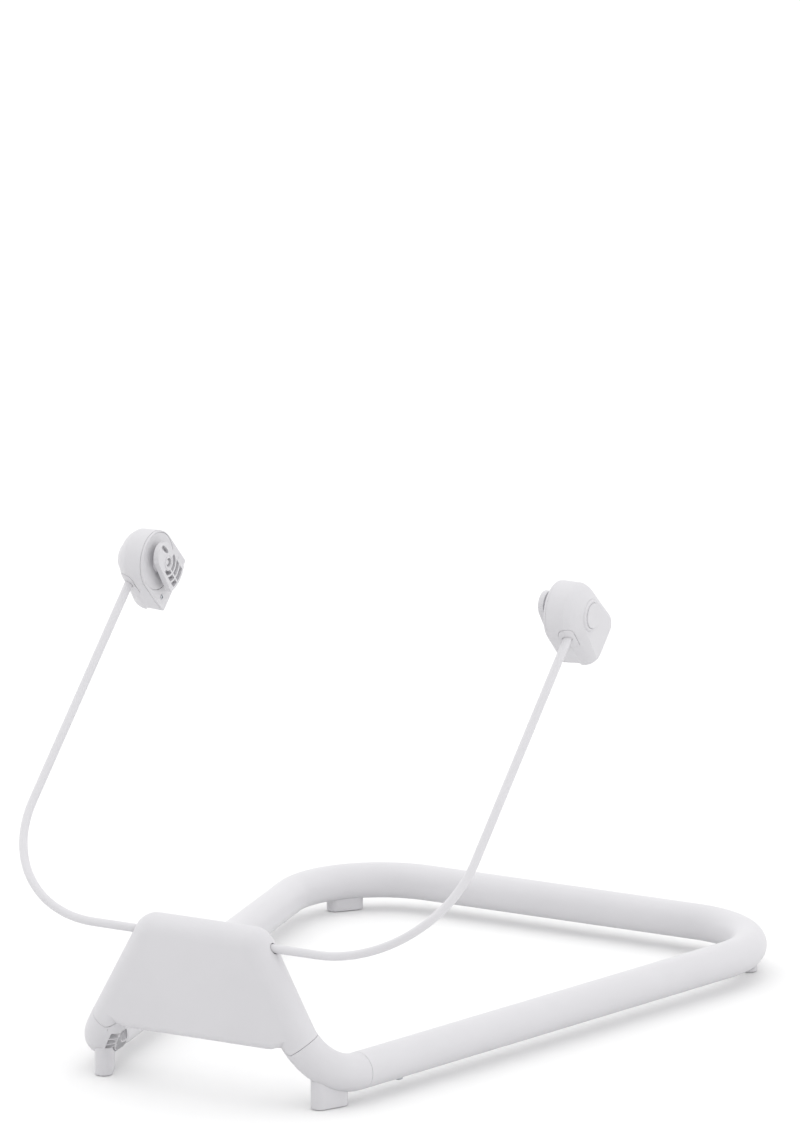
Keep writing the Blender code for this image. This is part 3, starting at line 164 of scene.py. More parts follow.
def combine(obj, tool, operation):
    if isinstance(tool, bmesh.types.BMesh):
        tool = to_object("tool", tool)
    mod = obj.modifiers.new(operation, "BOOLEAN")
    mod.operation = operation
    mod.solver = "EXACT"
    mod.object = tool
    baked(obj)
    bpy.data.objects.remove(tool, do_unlink=True)
    return obj


def cut(obj, *tools):
    for tool in tools:
        combine(obj, tool, "DIFFERENCE")
    return obj


def join(obj, *tools):
    for tool in tools:
        combine(obj, tool, "UNION")
    return obj


def circle(centre, way, radius, sides, guide):
    """Points round a circle square to way, the first of them towards the guide."""
    way = way.normalized()
    if abs(way.dot(guide)) > 0.99:
        guide = Z if abs(way.z) < 0.9 else X
    u = (guide - way * guide.dot(way)).normalized()
    v = way.cross(u)
    step = 2 * math.pi / sides
    return [centre + (u * math.cos(i * step) + v * math.sin(i * step)) * radius for i in range(sides)]


def loft(rings, close=False):
    """Rings of points joined by faces, capped at both ends or closed on themselves."""
    bm = bmesh.new()
    rows = [[bm.verts.new(p) for p in ring] for ring in rings]
    count = len(rows[0])
    pairs = list(zip(rows, rows[1:]))
    if close:
        pairs.append((rows[-1], rows[0]))
    for a, b in pairs:
        for i in range(count):
            j = (i + 1) % count
            bm.faces.new((a[i], a[j], b[j], b[i]))
    if not close:
        bm.faces.new(rows[0][::-1])
        bm.faces.new(rows[-1])
    return bm


def sweep(stations, radii, sides=ROUND, guide=Z):
    """A round bar along its stations, with one radius or one for each station."""
    if not isinstance(radii, (list, tuple)):
        radii = [radii] * len(stations)
    rings = []
    for (place, way), radius in zip(stations, radii):
        guide = (guide - way * guide.dot(way)).normalized()
        rings.append(circle(place, way, radius, sides, guide))
    return loft(rings)


def bar(a, b, radius, sides=32):
    return sweep([(a, b - a), (b, b - a)], radius, sides, (b - a).orthogonal())


def turned(centre, way, profile, sides=ROUND):
    """A solid of revolution from (distance along, radius) pairs."""
    way = way.normalized()
    return loft([circle(centre + way * s, way, r, sides, X) for s, r in profile])


def block(centre, size, axes=(X, Y, Z)):
    bm = bmesh.new()
    bmesh.ops.create_cube(bm, size=1.0)
    for vert in bm.verts:
        vert.co = centre + sum((axis * c * s for axis, c, s in zip(axes, vert.co, size)), Vector())
    return bm


def arc(centre, u, v, radius, a0, a1, steps):
    angles = [a0 + (a1 - a0) * i / steps for i in range(steps + 1)]
    return [centre + (u * math.cos(a) + v * math.sin(a)) * radius for a in angles]


def quarter(steps):
    """Angles from 0 to 90 degrees, for an edge rolled over in that many steps."""
    return [math.radians(90 * i / steps) for i in range(steps + 1)]


def eased(t):
    """A share from 0 to 1 that starts and stops gently."""
    return 3 * t * t - 2 * t ** 3


def mirrored(bm):
    bm.transform(Matrix.Scale(-1.0, 4, X))
    bmesh.ops.reverse_faces(bm, faces=bm.faces)
    return bm


def on_side(bm, sign):
    return bm if sign > 0 else mirrored(bm)


def mirror_object(obj, sign):
    if sign < 0:
        bm = bmesh.new()
        bm.from_mesh(obj.data)
        mirrored(bm).to_mesh(obj.data)
        bm.free()
    return obj


def soften(obj, width, angle, segments):
    """Break the sharp edges, as every mould and press does."""
    mod = obj.modifiers.new("edge", "BEVEL")
    mod.width = width
    mod.segments = segments
    mod.limit_method = "ANGLE"
    mod.angle_limit = math.radians(angle)
    mod.use_clamp_overlap = True
    return baked(obj)


def dress(obj, finish, body, slot, *nodes, sharp=35):
    """Finish a piece: merged, smooth, in its material, in its nodes' place, riding on its CAD body."""
    bm = bmesh.new()
    bm.from_mesh(obj.data)
    bmesh.ops.remove_doubles(bm, verts=bm.verts, dist=STRAY)
    bmesh.ops.dissolve_degenerate(bm, edges=bm.edges, dist=STRAY)
    bm.to_mesh(obj.data)
    bm.free()
    obj.data.materials.clear()
    obj.data.materials.append(finish)
    obj.data.shade_smooth()
    obj.data.set_sharp_from_angle(angle=math.radians(sharp))
    mod = obj.modifiers.new("even_shading", "WEIGHTED_NORMAL")
    mod.keep_sharp = True
    mod.weight = 100
    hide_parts(*nodes)
    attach(obj, body)
    return obj


print("mesh helpers ready")

# %% [markdown]
# ## Finishes
# Three whites meet on this stand. The tubes and the rod are steel under a baked powder coat, which is
# smooth with a faint orange peel. The housing, elbows and feet are injection moulded polypropylene
# with a fine spark-eroded grain, and the hubs have the same with a finer one. Rubber pads sit under
# the feet, and the screws, snap buttons and springs are zinc-plated steel.


# %% Material helpers
PLAIN_IOR = 1.5                       # paint, polypropylene and rubber lie close to it
GLOSS_SPREAD = 0.06                   # the grain moves the roughness this far either way
BUMP_STRENGTH = 0.5
PATCHES = 14.0                        # to a metre, so that a patch of tone is about 70 mm across


def hex_rgba(code):
    """An sRGB hex colour as linear RGBA."""
    values = [int(code[i:i + 2], 16) / 255 for i in (0, 2, 4)]
    linear = [v / 12.92 if v <= 0.04045 else ((v + 0.055) / 1.055) ** 2.4 for v in values]
    return (*linear, 1.0)


def add(tree, kind, settings=None, **links):
    """Add a node with its settings, and link or set its inputs by name."""
    made = tree.nodes.new(kind)
    for key, value in (settings or {}).items():
        setattr(made, key, value)
    for key, value in links.items():
        socket = made.inputs[int(key[2:])] if key.startswith("in") and key[2:].isdigit() else None
        socket = socket or made.inputs[key.replace("_", " ")]
        if isinstance(value, bpy.types.NodeSocket):
            tree.links.new(value, socket)
        else:
            socket.default_value = value
    return made


def surface(name, colour, patch_colour, roughness, grain_mm, depth_mm, metallic=0.0):
    """A finish with a fine grain in its bump and roughness, and a very soft change of tone."""
    mat = bpy.data.materials.new(name)
    mat.use_nodes = True
    tree = mat.node_tree
    shader = tree.nodes["Principled BSDF"]
    shader.inputs["Metallic"].default_value = metallic
    shader.inputs["IOR"].default_value = PLAIN_IOR
    place = add(tree, "ShaderNodeTexCoord").outputs["Object"]
    grain = add(tree, "ShaderNodeTexNoise", Vector=place, Scale=1000 / grain_mm, Detail=2.0)
    broad = add(tree, "ShaderNodeTexNoise", Vector=place, Scale=PATCHES, Detail=3.0, Roughness=0.6)
    tone = add(tree, "ShaderNodeMapRange", Value=broad.outputs[0], From_Min=0.35, From_Max=0.65)
    mixed = add(tree, "ShaderNodeMix", {"data_type": "RGBA"}, in0=tone.outputs[0], in6=hex_rgba(colour),
                in7=hex_rgba(patch_colour))
    tree.links.new(mixed.outputs[2], shader.inputs["Base Color"])
    gloss = add(tree, "ShaderNodeMapRange", Value=grain.outputs[0], To_Min=roughness - GLOSS_SPREAD,
                To_Max=roughness + GLOSS_SPREAD)
    tree.links.new(gloss.outputs[0], shader.inputs["Roughness"])
    bump = add(tree, "ShaderNodeBump", Height=grain.outputs[0], Distance=depth_mm * MM,
               Strength=BUMP_STRENGTH)
    tree.links.new(bump.outputs[0], shader.inputs["Normal"])
    return mat


# %% Materials
# Powder coat: soft sheen, orange peel about 2.5 mm across, so highlights break up a little.
powder_coat = surface("white_powder_coated_steel", "CECDD0", "CCCBCE", 0.40, 2.5, 0.03)
# Moulded polypropylene: even and matt, grain drawn at 0.8 mm so that it just shows close up.
frame_moulding = surface("white_moulded_polypropylene", "CDCCCF", "CBCACD", 0.52, 0.8, 0.04)
# The hubs' tool has a slightly finer grain, which leaves them a touch glossier.
hub_moulding = surface("white_moulded_hub_polypropylene", "CDCCCF", "CBCACD", 0.50, 0.7, 0.03)
# Bright zinc: a metal with a faint mottle.
zinc_plate = surface("bright_zinc_plated_steel", "B9BCC0", "B2B5B9", 0.34, 1.2, 0.01, metallic=1.0)
# Moulded rubber: the dullest of the five, and a shade darker than the whites.
pad_rubber = surface("light_grey_moulded_rubber", "C9C9CA", "C4C4C6", 0.78, 0.9, 0.06)
for slot_name, finish in (("coated_tube", powder_coat), ("coated_rod", powder_coat),
                          ("frame_plastic", frame_moulding), ("hub_plastic", hub_moulding),
                          ("plated_steel", zinc_plate), ("pad_rubber", pad_rubber)):
    for entry in frame["record"]["subparts"]:
        if entry["material_slot"] == slot_name:
            mesh = frame["nodes"][entry["node"]].data
            mesh.materials.clear()
            mesh.materials.append(finish)
print("materials:", len(bpy.data.materials))

# %% [markdown]
# ## Geometry Nodes helpers
# The spring rod follows a path, the elbow's ribbing repeats round a bend, the screws repeat on the
# covers, and the small springs wind round an axis. Geometry Nodes suit all four: a tree has a few
# named sizes, and the result is turned into plain mesh before it joins the rest.


# %% Geometry Nodes helpers
def node_tree(name, **inputs):
    """A tree with named inputs, given as socket kinds, and its first and last nodes."""
    tree = bpy.data.node_groups.new(name, "GeometryNodeTree")
    tree.interface.new_socket("Geometry", in_out="INPUT", socket_type="NodeSocketGeometry")
    for label, kind in inputs.items():
        tree.interface.new_socket(label.replace("_", " "), in_out="INPUT", socket_type="NodeSocket" + kind)
    tree.interface.new_socket("Geometry", in_out="OUTPUT", socket_type="NodeSocketGeometry")
    return tree, tree.nodes.new("NodeGroupInput").outputs, tree.nodes.new("NodeGroupOutput").inputs[0]


def grown(obj, tree, **values):
    """Run a tree on an object with its named inputs set, and keep the result as plain mesh."""
    mod = obj.modifiers.new(tree.name, "NODES")
    mod.node_group = tree
    for item in tree.interface.items_tree:
        label = item.name.replace(" ", "_")
        if item.item_type == "SOCKET" and item.in_out == "INPUT" and label in values:
            mod[item.identifier] = values[label]
    return baked(obj)


def points_object(name, points, edges=()):
    mesh = bpy.data.meshes.new(name)
    mesh.from_pydata([tuple(p) for p in points], list(edges), [])
    return linked(name, mesh)


print("Geometry Nodes helpers ready")

# %% [markdown]
# ## Spring rod
# The rod is one length of 8.7 mm spring steel, bent at two corners and powder coated. It could be a
# sweep of hand-placed rings. Here a tree takes its four straight-line points, rounds the two corners
# with the bending radius and runs a circle along them, which is how a wire bender thinks of it.

# %% Spring rod
ROD_R = 4.35 * MM
ROD_BEND = 126.5 * MM
ROD_STEPS = 40                        # sides of the rod, and points round each of its bends
ARM_X = 255.2 * MM
ROD_TILT = math.radians(45.1)
ROD_UP = Vector((0, math.cos(ROD_TILT), math.sin(ROD_TILT)))
ROD_BASE = Vector((0, MID_Y, 159.6 * MM))
HUB_REACH = 422.6                     # mm along an arm, from the rod's base to the hub's middle
HUB_CENTRE = ROD_BASE + ROD_UP * HUB_REACH * MM
TIP_GAP = 18.0 * MM                   # an arm ends this far short of the hub's middle

rod_tree, given, result = node_tree("bent_rod", Rod_radius="Float", Bend_radius="Float", Finish="Material")
wire = add(rod_tree, "GeometryNodeMeshToCurve", Mesh=given["Geometry"])
bent = add(rod_tree, "GeometryNodeFilletCurve", {"mode": "POLY"}, Curve=wire.outputs[0], Count=ROD_STEPS,
           Radius=given["Bend radius"])
ring = add(rod_tree, "GeometryNodeCurvePrimitiveCircle", Resolution=ROD_STEPS, Radius=given["Rod radius"])
skin = add(rod_tree, "GeometryNodeCurveToMesh", Curve=bent.outputs[0], Profile_Curve=ring.outputs[0],
           Fill_Caps=True)
real = add(rod_tree, "GeometryNodeRealizeInstances", Geometry=skin.outputs[0])
coated = add(rod_tree, "GeometryNodeSetMaterial", Geometry=real.outputs[0], Material=given["Finish"])
rod_tree.links.new(coated.outputs[0], result)

tip = HUB_CENTRE + X * ARM_X - ROD_UP * TIP_GAP
corner = ROD_BASE + X * ARM_X
path = [tip, corner, other_side(corner, -1), other_side(tip, -1)]
rod = points_object("spring_rod_coated", path, [(0, 1), (1, 2), (2, 3)])
grown(rod, rod_tree, Rod_radius=ROD_R, Bend_radius=ROD_BEND, Finish=powder_coat)
dress(rod, powder_coat, "rod", "coated_rod", "spring_rod")
print("rod faces:", len(rod.data.polygons))

# %% [markdown]
# ## Rear tube
# One steel tube, 38 mm across with a 1.5 mm wall, makes both sides and the back. Two skins of rings
# are lofted into one closed wall, and the holes for the snap buttons are cut through it. Its ends
# have small broken edges, which is what makes the joint lines show.

# %% Rear tube
LIP = 0.35 * MM                       # the broken edge at each end
JOINT_Y = 34.2 * MM                   # where tube and elbow meet
SNAP_Y = 92.0 * MM
SNAP_R = 4.4 * MM


def lipped(stations, radius):
    """Stations and radii of a bar whose two ends have small broken edges."""
    (p0, d0), (p1, d1) = stations[0], stations[-1]
    path = [stations[0], (p0 + d0 * LIP, d0)] + stations[1:-1] + [(p1 - d1 * LIP, d1), stations[-1]]
    return path, [radius - LIP] + [radius] * (len(path) - 2) + [radius - LIP]


def tube_line():
    """Stations along the whole tube's axis, from its right end round the back to its left end."""
    turn = BACK.angle(-X)
    corner = side_point(REAR_Y)
    reach = REAR_BEND * math.tan(turn / 2)
    right = [(side_point(JOINT_Y) + BACK * FIT / 2, BACK)]
    right += bend(corner - BACK * reach, BACK, -X, REAR_BEND, step=math.radians(2.0))
    return right + [(other_side(p, -1), Vector((d.x, -d.y, d.z))) for p, d in reversed(right)]


path, radii = lipped(tube_line(), TUBE_R)
outer = [circle(p, d, r, ROUND, Z) for (p, d), r in zip(path, radii)]
inner = [circle(p, d, TUBE_R - TUBE_WALL, ROUND, Z) for p, d in path]
tube = to_object("rear_tube_coated", loft(outer + inner[::-1], close=True))
for _, sign in SIDES:
    middle = other_side(side_point(SNAP_Y), sign)
    cut(tube, bar(middle, middle - Z * TUBE_R * 1.2, SNAP_R + FIT))
dress(tube, powder_coat, "base", "coated_tube", "rear_tube")
print("rear tube faces:", len(tube.data.polygons))

# %% [markdown]
# ## Elbows
# Each front corner is a moulded elbow that continues the tube, bends up and in, and plugs into the
# housing. Its inner side is cored out between ribs so that the thick part cools evenly. The cores are
# a grid of small blocks that a tree wraps round the bend, and an exact Boolean takes them out.

# %% Elbow cores
PLUG_R = TUBE_R - TUBE_WALL - FIT
NECK_R = 16.0 * MM
CORE_COLUMNS, CORE_ROWS = 8, 3
CORE_HEIGHT = 30.6 * MM
CORE_RIB = 1.3 * MM
CORE_DEPTH = TUBE_R + 2 * MM                    # from the elbow's middle out past its inner side
CORE_START, CORE_END = -1.0 * MM, 4.0 * MM      # where the cores begin and stop, from the bend's ends
CORE_POINTS = 5                                 # along a block, so that it can follow the bend
side_way = (LEANING - BACK * BACK.dot(LEANING)).normalized()
inward = BACK.cross(side_way).normalized()
inward = -inward if inward.x > 0 else inward
bend_centre = side_point(ELBOW_Y) + side_way * ELBOW_BEND
bend_length = (-BACK).angle(LEANING) * JOINT_SHARE * ELBOW_BEND
print("elbow bend length (mm):", round(bend_length / MM, 1))

# %% Core tree
MATH = "ShaderNodeMath"
core_tree, given, result = node_tree("cores_round_a_bend", Columns="Int", Rows="Int", Length="Float",
                                     Height="Float", Rib="Float", Depth="Float", Bend_radius="Float",
                                     Finish="Material")
at = add(core_tree, "ShaderNodeSeparateXYZ", Vector=add(core_tree, "GeometryNodeInputPosition").outputs[0])
# The sums name their terms. From "along" on, every point keeps its distance from the bend's axis and
# turns round it by its distance along.
sums = {name: given[name] for name in ("Columns", "Rows", "Length", "Height", "Rib", "Bend radius")}
sums.update({"x": at.outputs[0], "y": at.outputs[1], "half": 0.5})
for name, operation, *terms in (
        ("pitch", "DIVIDE", "Length", "Columns"), ("rise", "DIVIDE", "Height", "Rows"),
        ("span", "SUBTRACT", "Length", "pitch"), ("spread", "SUBTRACT", "Height", "rise"),
        ("long side", "SUBTRACT", "pitch", "Rib"), ("short side", "SUBTRACT", "rise", "Rib"),
        ("middle", "MULTIPLY", "Length", "half"), ("along", "ADD", "x", "middle"),
        ("angle", "DIVIDE", "along", "Bend radius"), ("reach", "ADD", "y", "Bend radius"),
        ("sine", "SINE", "angle"), ("cosine", "COSINE", "angle"),
        ("u", "MULTIPLY", "reach", "sine"), ("v", "MULTIPLY", "reach", "cosine")):
    linked_terms = {f"in{i}": sums[term] for i, term in enumerate(terms)}
    sums[name] = add(core_tree, MATH, {"operation": operation}, **linked_terms).outputs[0]
grid = add(core_tree, "GeometryNodeMeshGrid", Vertices_X=given["Columns"], Vertices_Y=given["Rows"],
           Size_X=sums["span"], Size_Y=sums["spread"])
size = add(core_tree, "ShaderNodeCombineXYZ", X=sums["long side"], Y=sums["short side"], Z=given["Depth"])
cube = add(core_tree, "GeometryNodeMeshCube", Size=size.outputs[0], Vertices_X=CORE_POINTS)
laid = add(core_tree, "GeometryNodeInstanceOnPoints", Points=grid.outputs[0], Instance=cube.outputs[0])
real = add(core_tree, "GeometryNodeRealizeInstances", Geometry=laid.outputs[0])
wrapped = add(core_tree, "ShaderNodeCombineXYZ", X=sums["u"], Y=sums["v"], Z=at.outputs[2])
placed = add(core_tree, "GeometryNodeSetPosition", Geometry=real.outputs[0], Position=wrapped.outputs[0])
faced = add(core_tree, "GeometryNodeSetMaterial", Geometry=placed.outputs[0], Material=given["Finish"])
core_tree.links.new(faced.outputs[0], result)


def elbow_cores(sign):
    """The blocks that core out one elbow, in their place."""
    cores = grown(points_object("cores", [(0, 0, 0)]), core_tree, Columns=CORE_COLUMNS, Rows=CORE_ROWS,
                  Length=bend_length - CORE_START - CORE_END, Height=CORE_HEIGHT, Rib=CORE_RIB,
                  Depth=CORE_DEPTH, Bend_radius=ELBOW_BEND, Finish=frame_moulding)
    turn = CORE_START / ELBOW_BEND
    start = -BACK * math.cos(turn) + side_way * math.sin(turn)
    outward = -side_way * math.cos(turn) - BACK * math.sin(turn)
    frame_of_bend = Matrix((start, outward, inward)).transposed().to_4x4()
    cores.data.transform(Matrix.Translation(bend_centre + inward * CORE_DEPTH / 2) @ frame_of_bend)
    bm = bmesh.new()
    bm.from_mesh(cores.data)
    bpy.data.objects.remove(cores, do_unlink=True)
    bmesh.ops.recalc_face_normals(bm, faces=bm.faces)
    return on_side(bm, sign)


print("core tree nodes:", len(core_tree.nodes))

# %% The wavy joint
# The housing's lower edge rises over the elbow's inner side: X and Z of the line in mm, from the outside in
WAVE = [(112.0, 54.0), (109.4, 57.9), (107.6, 58.0), (105.5, 58.1), (103.6, 58.4), (102.0, 58.9),
        (100.4, 59.7), (99.0, 60.6), (97.4, 61.8), (95.8, 63.0), (94.2, 63.7), (92.6, 64.0), (90.6, 63.6),
        (87.5, 62.4), (84.0, 60.8), (80.0, 59.4), (76.0, 58.6)]
WAVE_GAP = 1.5 * FIT
WAVE_FLOOR = 40.0 * MM                # the solid below the wave goes down to here
WAVE_REACH = 30.0 * MM                # and this far either side of the middle plane


def below_wave(lift):
    """Everything under the wavy line on the right, as a solid to cut or keep with."""
    line = [(x * MM, z * MM + lift) for x, z in WAVE]
    line += [(line[-1][0], WAVE_FLOOR), (line[0][0], WAVE_FLOOR)]
    return loft([[Vector((x, MID_Y + y, z)) for x, z in line] for y in (-WAVE_REACH, WAVE_REACH)])


print("wave crest at x, z (mm):", max(WAVE, key=lambda point: point[1]))

# %% Elbows
PLUG_LENGTH = 75                                # mm into the tube
FLANGE_Z = -TUBE_R + TUBE_WALL + 2.2 * MM       # the snap button's flange, from the tube's axis
NEST_R = 6.1 * MM                               # the bore for that flange and the spring over it
NEST_TOP = 6.5 * MM


def elbow(sign):
    """Plug, bent body, neck and wavy tongue in one moulding, cored out and bored for its button."""
    low = side_point(JOINT_Y) - BACK * FIT / 2
    body, radii = lipped([(low, -BACK)] + seam_bend[:-1] + [(seam - seam_way * FIT / 2, seam_way)], TUBE_R)
    neck = [body[-1]] + upper_bend[1:]
    stations = [(low + BACK * PLUG_LENGTH * MM, -BACK), (low, -BACK)] + body + neck
    obj = to_object("elbow", on_side(sweep(stations, [PLUG_R] * 2 + radii + [NECK_R] * len(neck)), sign))
    cut(obj, elbow_cores(sign))
    tongue = to_object("tongue", on_side(sweep([seam_bend[-2]] + upper_bend, TUBE_R), sign))
    combine(tongue, on_side(below_wave(-WAVE_GAP), sign), "INTERSECT")
    join(obj, tongue)
    nest = turned(side_point(SNAP_Y), Z, ((-TUBE_R, SNAP_R + FIT), (FLANGE_Z - FIT, SNAP_R + FIT),
                                          (FLANGE_Z - FIT, NEST_R), (NEST_TOP, NEST_R)), 32)
    return cut(obj, on_side(nest, sign))


for side, sign in SIDES:
    piece = elbow(sign)
    piece.name = f"elbow_moulding_{side}"
    dress(piece, frame_moulding, "base", "frame_plastic", f"elbow_{side}", sharp=30)
    print(piece.name, "faces:", len(piece.data.polygons))

# %% [markdown]
# ## Snap buttons
# A round-nosed steel button under each side locks the tube on the elbow's plug. It is a turned part,
# so it is a profile spun round its axis, with a domed end that a thumb pushes in.

# %% Snap buttons
SNAP_PROUD = 2.8 * MM                 # how far the nose stands out of the tube
SNAP_DOME = 1.8 * MM
SNAP_FLANGE_R, SNAP_FLANGE_T = 5.8 * MM, 3.0 * MM
nose = [(-TUBE_R - SNAP_PROUD + SNAP_DOME * (1 - math.cos(a)), SNAP_R * math.sin(a))
        for a in [math.radians(9 + 81 * i / 10) for i in range(11)]]
profile = nose + [(FLANGE_Z, SNAP_R), (FLANGE_Z, SNAP_FLANGE_R), (FLANGE_Z + SNAP_FLANGE_T, SNAP_FLANGE_R)]
for side, sign in SIDES:
    button = to_object(f"snap_button_turned_{side}",
                       turned(other_side(side_point(SNAP_Y), sign), Z, profile, 40))
    dress(button, zinc_plate, f"snap_{side}", "plated_steel", f"snap_button_{side}")
print("snap buttons stand out by (mm):", round(SNAP_PROUD / MM, 1))

# %% [markdown]
# ## Feet and pads
# Four oblong posts hold the tube 12 mm off the floor. Each is a round-ended prism saddled to the tube
# above it, with a softened lower edge, and a rubber pad let into its sole.

# %% One foot
FOOT_HALF = 11.2 * MM                 # half the straight length of a foot's outline
FOOT_R = 9.1 * MM
FOOT_EDGE = 0.7 * MM
FOOT_SOLE = 0.8 * MM                  # the post ends over the floor, and only the pad touches it
FOOT_RISE = 11.0 * MM                 # how far it reaches up round the tube
FRONT_TURN, REAR_TURN = math.radians(64), math.radians(52)
FRONT_IN = 1.5 * MM                   # the front feet stand a little inside the elbow's axis
POCKET_R, POCKET_TOP = 7.4 * MM, 2.5 * MM


def stadium(centre, way, half, radius, z):
    """The outline of a foot or pad at a height: two half circles joined by straight sides."""
    way = way.normalized()
    side = Z.cross(way)
    base = Vector((centre.x, centre.y, z))
    points = arc(base + way * half, way, side, radius, -math.pi / 2, math.pi / 2, 20)
    return points + arc(base - way * half, way, side, radius, math.pi / 2, 1.5 * math.pi, 20)


def foot_place(where):
    """The point of the right tube's or elbow's axis over a foot, and the foot's long way."""
    if where == "front":
        for (a, _), (b, _) in zip(seam_bend, seam_bend[1:]):
            if a.y >= FRONT_Y >= b.y:
                over = a.lerp(b, (a.y - FRONT_Y) / (a.y - b.y))
        return over - X * FRONT_IN, Vector((math.cos(FRONT_TURN), math.sin(FRONT_TURN), 0))
    corner = side_point(REAR_Y)
    reach = REAR_BEND * math.tan(BACK.angle(-X) / 2)
    middle = Vector((corner.x - reach, corner.y - REAR_BEND, TUBE_Z))
    over = middle + Vector((math.sin(REAR_TURN), math.cos(REAR_TURN), 0)) * REAR_BEND
    return over, Vector((-math.cos(REAR_TURN), math.sin(REAR_TURN), 0))


def foot(where, sign):
    over, way = foot_place(where)
    rows = [stadium(over, way, FOOT_HALF, FOOT_R - FOOT_EDGE * (1 - math.sin(a)),
                    FOOT_SOLE + FOOT_EDGE * (1 - math.cos(a))) for a in quarter(6)]
    rows.append(stadium(over, way, FOOT_HALF, FOOT_R, over.z - TUBE_R + FOOT_RISE))
    obj = to_object("foot", loft(rows))
    if where == "front":
        saddle = [(side_point(JOINT_Y) + BACK * 60 * MM, -BACK)] + seam_bend + upper_bend[1:]
    else:
        line = tube_line()
        saddle = line[:len(line) // 2] + [(Vector((0, FRONT_Y + REAR_Y, TUBE_Z)), -X)]
    cut(obj, sweep(saddle, TUBE_R + FIT / 3))
    cut(obj, loft([stadium(over, way, FOOT_HALF, POCKET_R, z) for z in (-1 * MM, POCKET_TOP)]))
    return mirror_object(obj, sign)


print("feet under the tube at", [round(v, 4) for v in foot_place("rear")[0]])

# %% Feet and pads
PAD_R = 7.1 * MM
PAD_ROWS = ((0, 0.5), (0.15, 0.2), (0.5, 0), (2.2, 0))          # height, and how far drawn in, in mm
for side, sign in SIDES:
    for where in ("front", "rear"):
        piece = foot(where, sign)
        piece.name = f"foot_post_{where}_{side}"
        dress(piece, frame_moulding, "base", "frame_plastic", f"foot_{where}_{side}")
        over, way = foot_place(where)
        rows = [stadium(over, way, FOOT_HALF, PAD_R - inset * MM, z * MM) for z, inset in PAD_ROWS]
        pad = mirror_object(to_object(f"foot_sole_{where}_{side}", loft(rows)), sign)
        dress(pad, pad_rubber, "base", "pad_rubber", f"foot_pad_{where}_{side}")
print("pad stands (mm) below its foot:", round(FOOT_SOLE / MM, 1))

# %% [markdown]
# ## Housing
# The housing is a moulded shell: a flat body between rounded side and top edges that carry on the
# elbows' round form. The flat body is lofted from rows that round its lower edge, the round edge is a
# sweep, and Booleans take out the hollow, the elbows' room and the rod's holes.

# %% Housing outlines
WALL = 2.5 * MM
TOP_Z = 159.8 * MM
CORNER_BEND = 5.0 * MM
PLATE_HALF = 18.97 * MM               # just inside the round edge, so that the two faces don't coincide
BOTTOM_Z = 60.0 * MM
BOTTOM_SOFT = 8.0 * MM
RISE = 1.2 * MM                       # how far the lower edge rises towards the elbows
RISE_FROM, RISE_TO = 78.0, 92.0       # X where it starts and stops rising, in mm
FLANK_FROM = 8.9 * MM                 # the flat body reaches the side edge this far over the joint
COVER_FOOT, COVER_INSET = TUBE_R + 10 * MM, 3.5 * MM    # the cover's sides, in from the edge's axis
COVER_LOW, COVER_SHOULDER = 10.4 * MM, 32.9 * MM
COVER_CORNER = 4.0 * MM
HOLLOW_FOOT = TUBE_R + 4 * MM
HOLLOW_SHOULDER, HOLLOW_STEP = 22.9 * MM, 6.0 * MM


def side_x(z, inset=0.0):
    """X of the side edge's axis at a height, drawn in square to it."""
    return elbow_top.x - (z - elbow_top.z) * math.tan(FLANK_LEAN) - inset / math.cos(FLANK_LEAN)


def both(right):
    """The right half of an outline with its mirror image."""
    return right + [(-x, z) for x, z in reversed(right)]


def on_slab(points, depth):
    """X and Z pairs as points at a depth behind the housing's middle plane."""
    return [Vector((x, MID_Y + depth, z)) for x, z in points]


def edge_line(past=0.0):
    """Stations of the round edge: up the right side, over the top and down the left."""
    right = [(seam + seam_way * FIT / 2, seam_way)] + upper_bend[1:]
    corner = elbow_top + FLANK * ((TOP_Z - elbow_top.z) / FLANK.z)
    reach = CORNER_BEND * math.tan(FLANK.angle(-X) / 2)
    right += bend(corner - FLANK * reach, FLANK, -X, CORNER_BEND, step=math.radians(5.0))
    left = [(other_side(p, -1), Vector((d.x, -d.y, -d.z))) for p, d in reversed(right)]
    line = right + left
    if past:
        line[0] = (line[0][0] - line[0][1] * past, line[0][1])
        line[-1] = (line[-1][0] + line[-1][1] * past, line[-1][1])
    return line


def housing_plate():
    """The flat body in rows from front to back, which roll its lower edge over."""
    lower = [((RISE_FROM + (RISE_TO - RISE_FROM) * t) * MM, BOTTOM_Z + RISE * eased(t))
             for t in [i / 12 for i in range(13)]]
    flank = seam.z + FLANK_FROM
    upper = [(side_x(flank), flank), (side_x(TOP_Z), TOP_Z)]
    rows = []
    for way, a in [(-1, a) for a in quarter(8)] + [(1, a) for a in reversed(quarter(8))]:
        lift = BOTTOM_SOFT * (1 - math.sin(a))
        raised = [(x, z + lift) for x, z in lower] + upper
        rows.append(on_slab(both(raised), way * (PLATE_HALF - BOTTOM_SOFT * (1 - math.cos(a)))))
    return loft(rows)


def cover_outline(shrink):
    """The opening in the housing's back, or the cover that fits it with some room."""
    low, shoulder = seam.z + COVER_LOW + shrink, seam.z + COVER_SHOULDER + shrink
    top, inset = TOP_Z - shrink, COVER_INSET + shrink
    return both([(side_x(low, COVER_FOOT + shrink), low), (side_x(shoulder, inset), shoulder),
                 (side_x(top - COVER_CORNER, inset), top - COVER_CORNER),
                 (side_x(top, inset + COVER_CORNER), top)])


def hollow_outline():
    low, shoulder = BOTTOM_Z + RISE + WALL, seam.z + HOLLOW_SHOULDER
    step = shoulder + HOLLOW_STEP
    return both([(side_x(low, HOLLOW_FOOT), low), (side_x(shoulder, TUBE_R), shoulder),
                 (side_x(step), step), (side_x(TOP_Z), TOP_Z)])


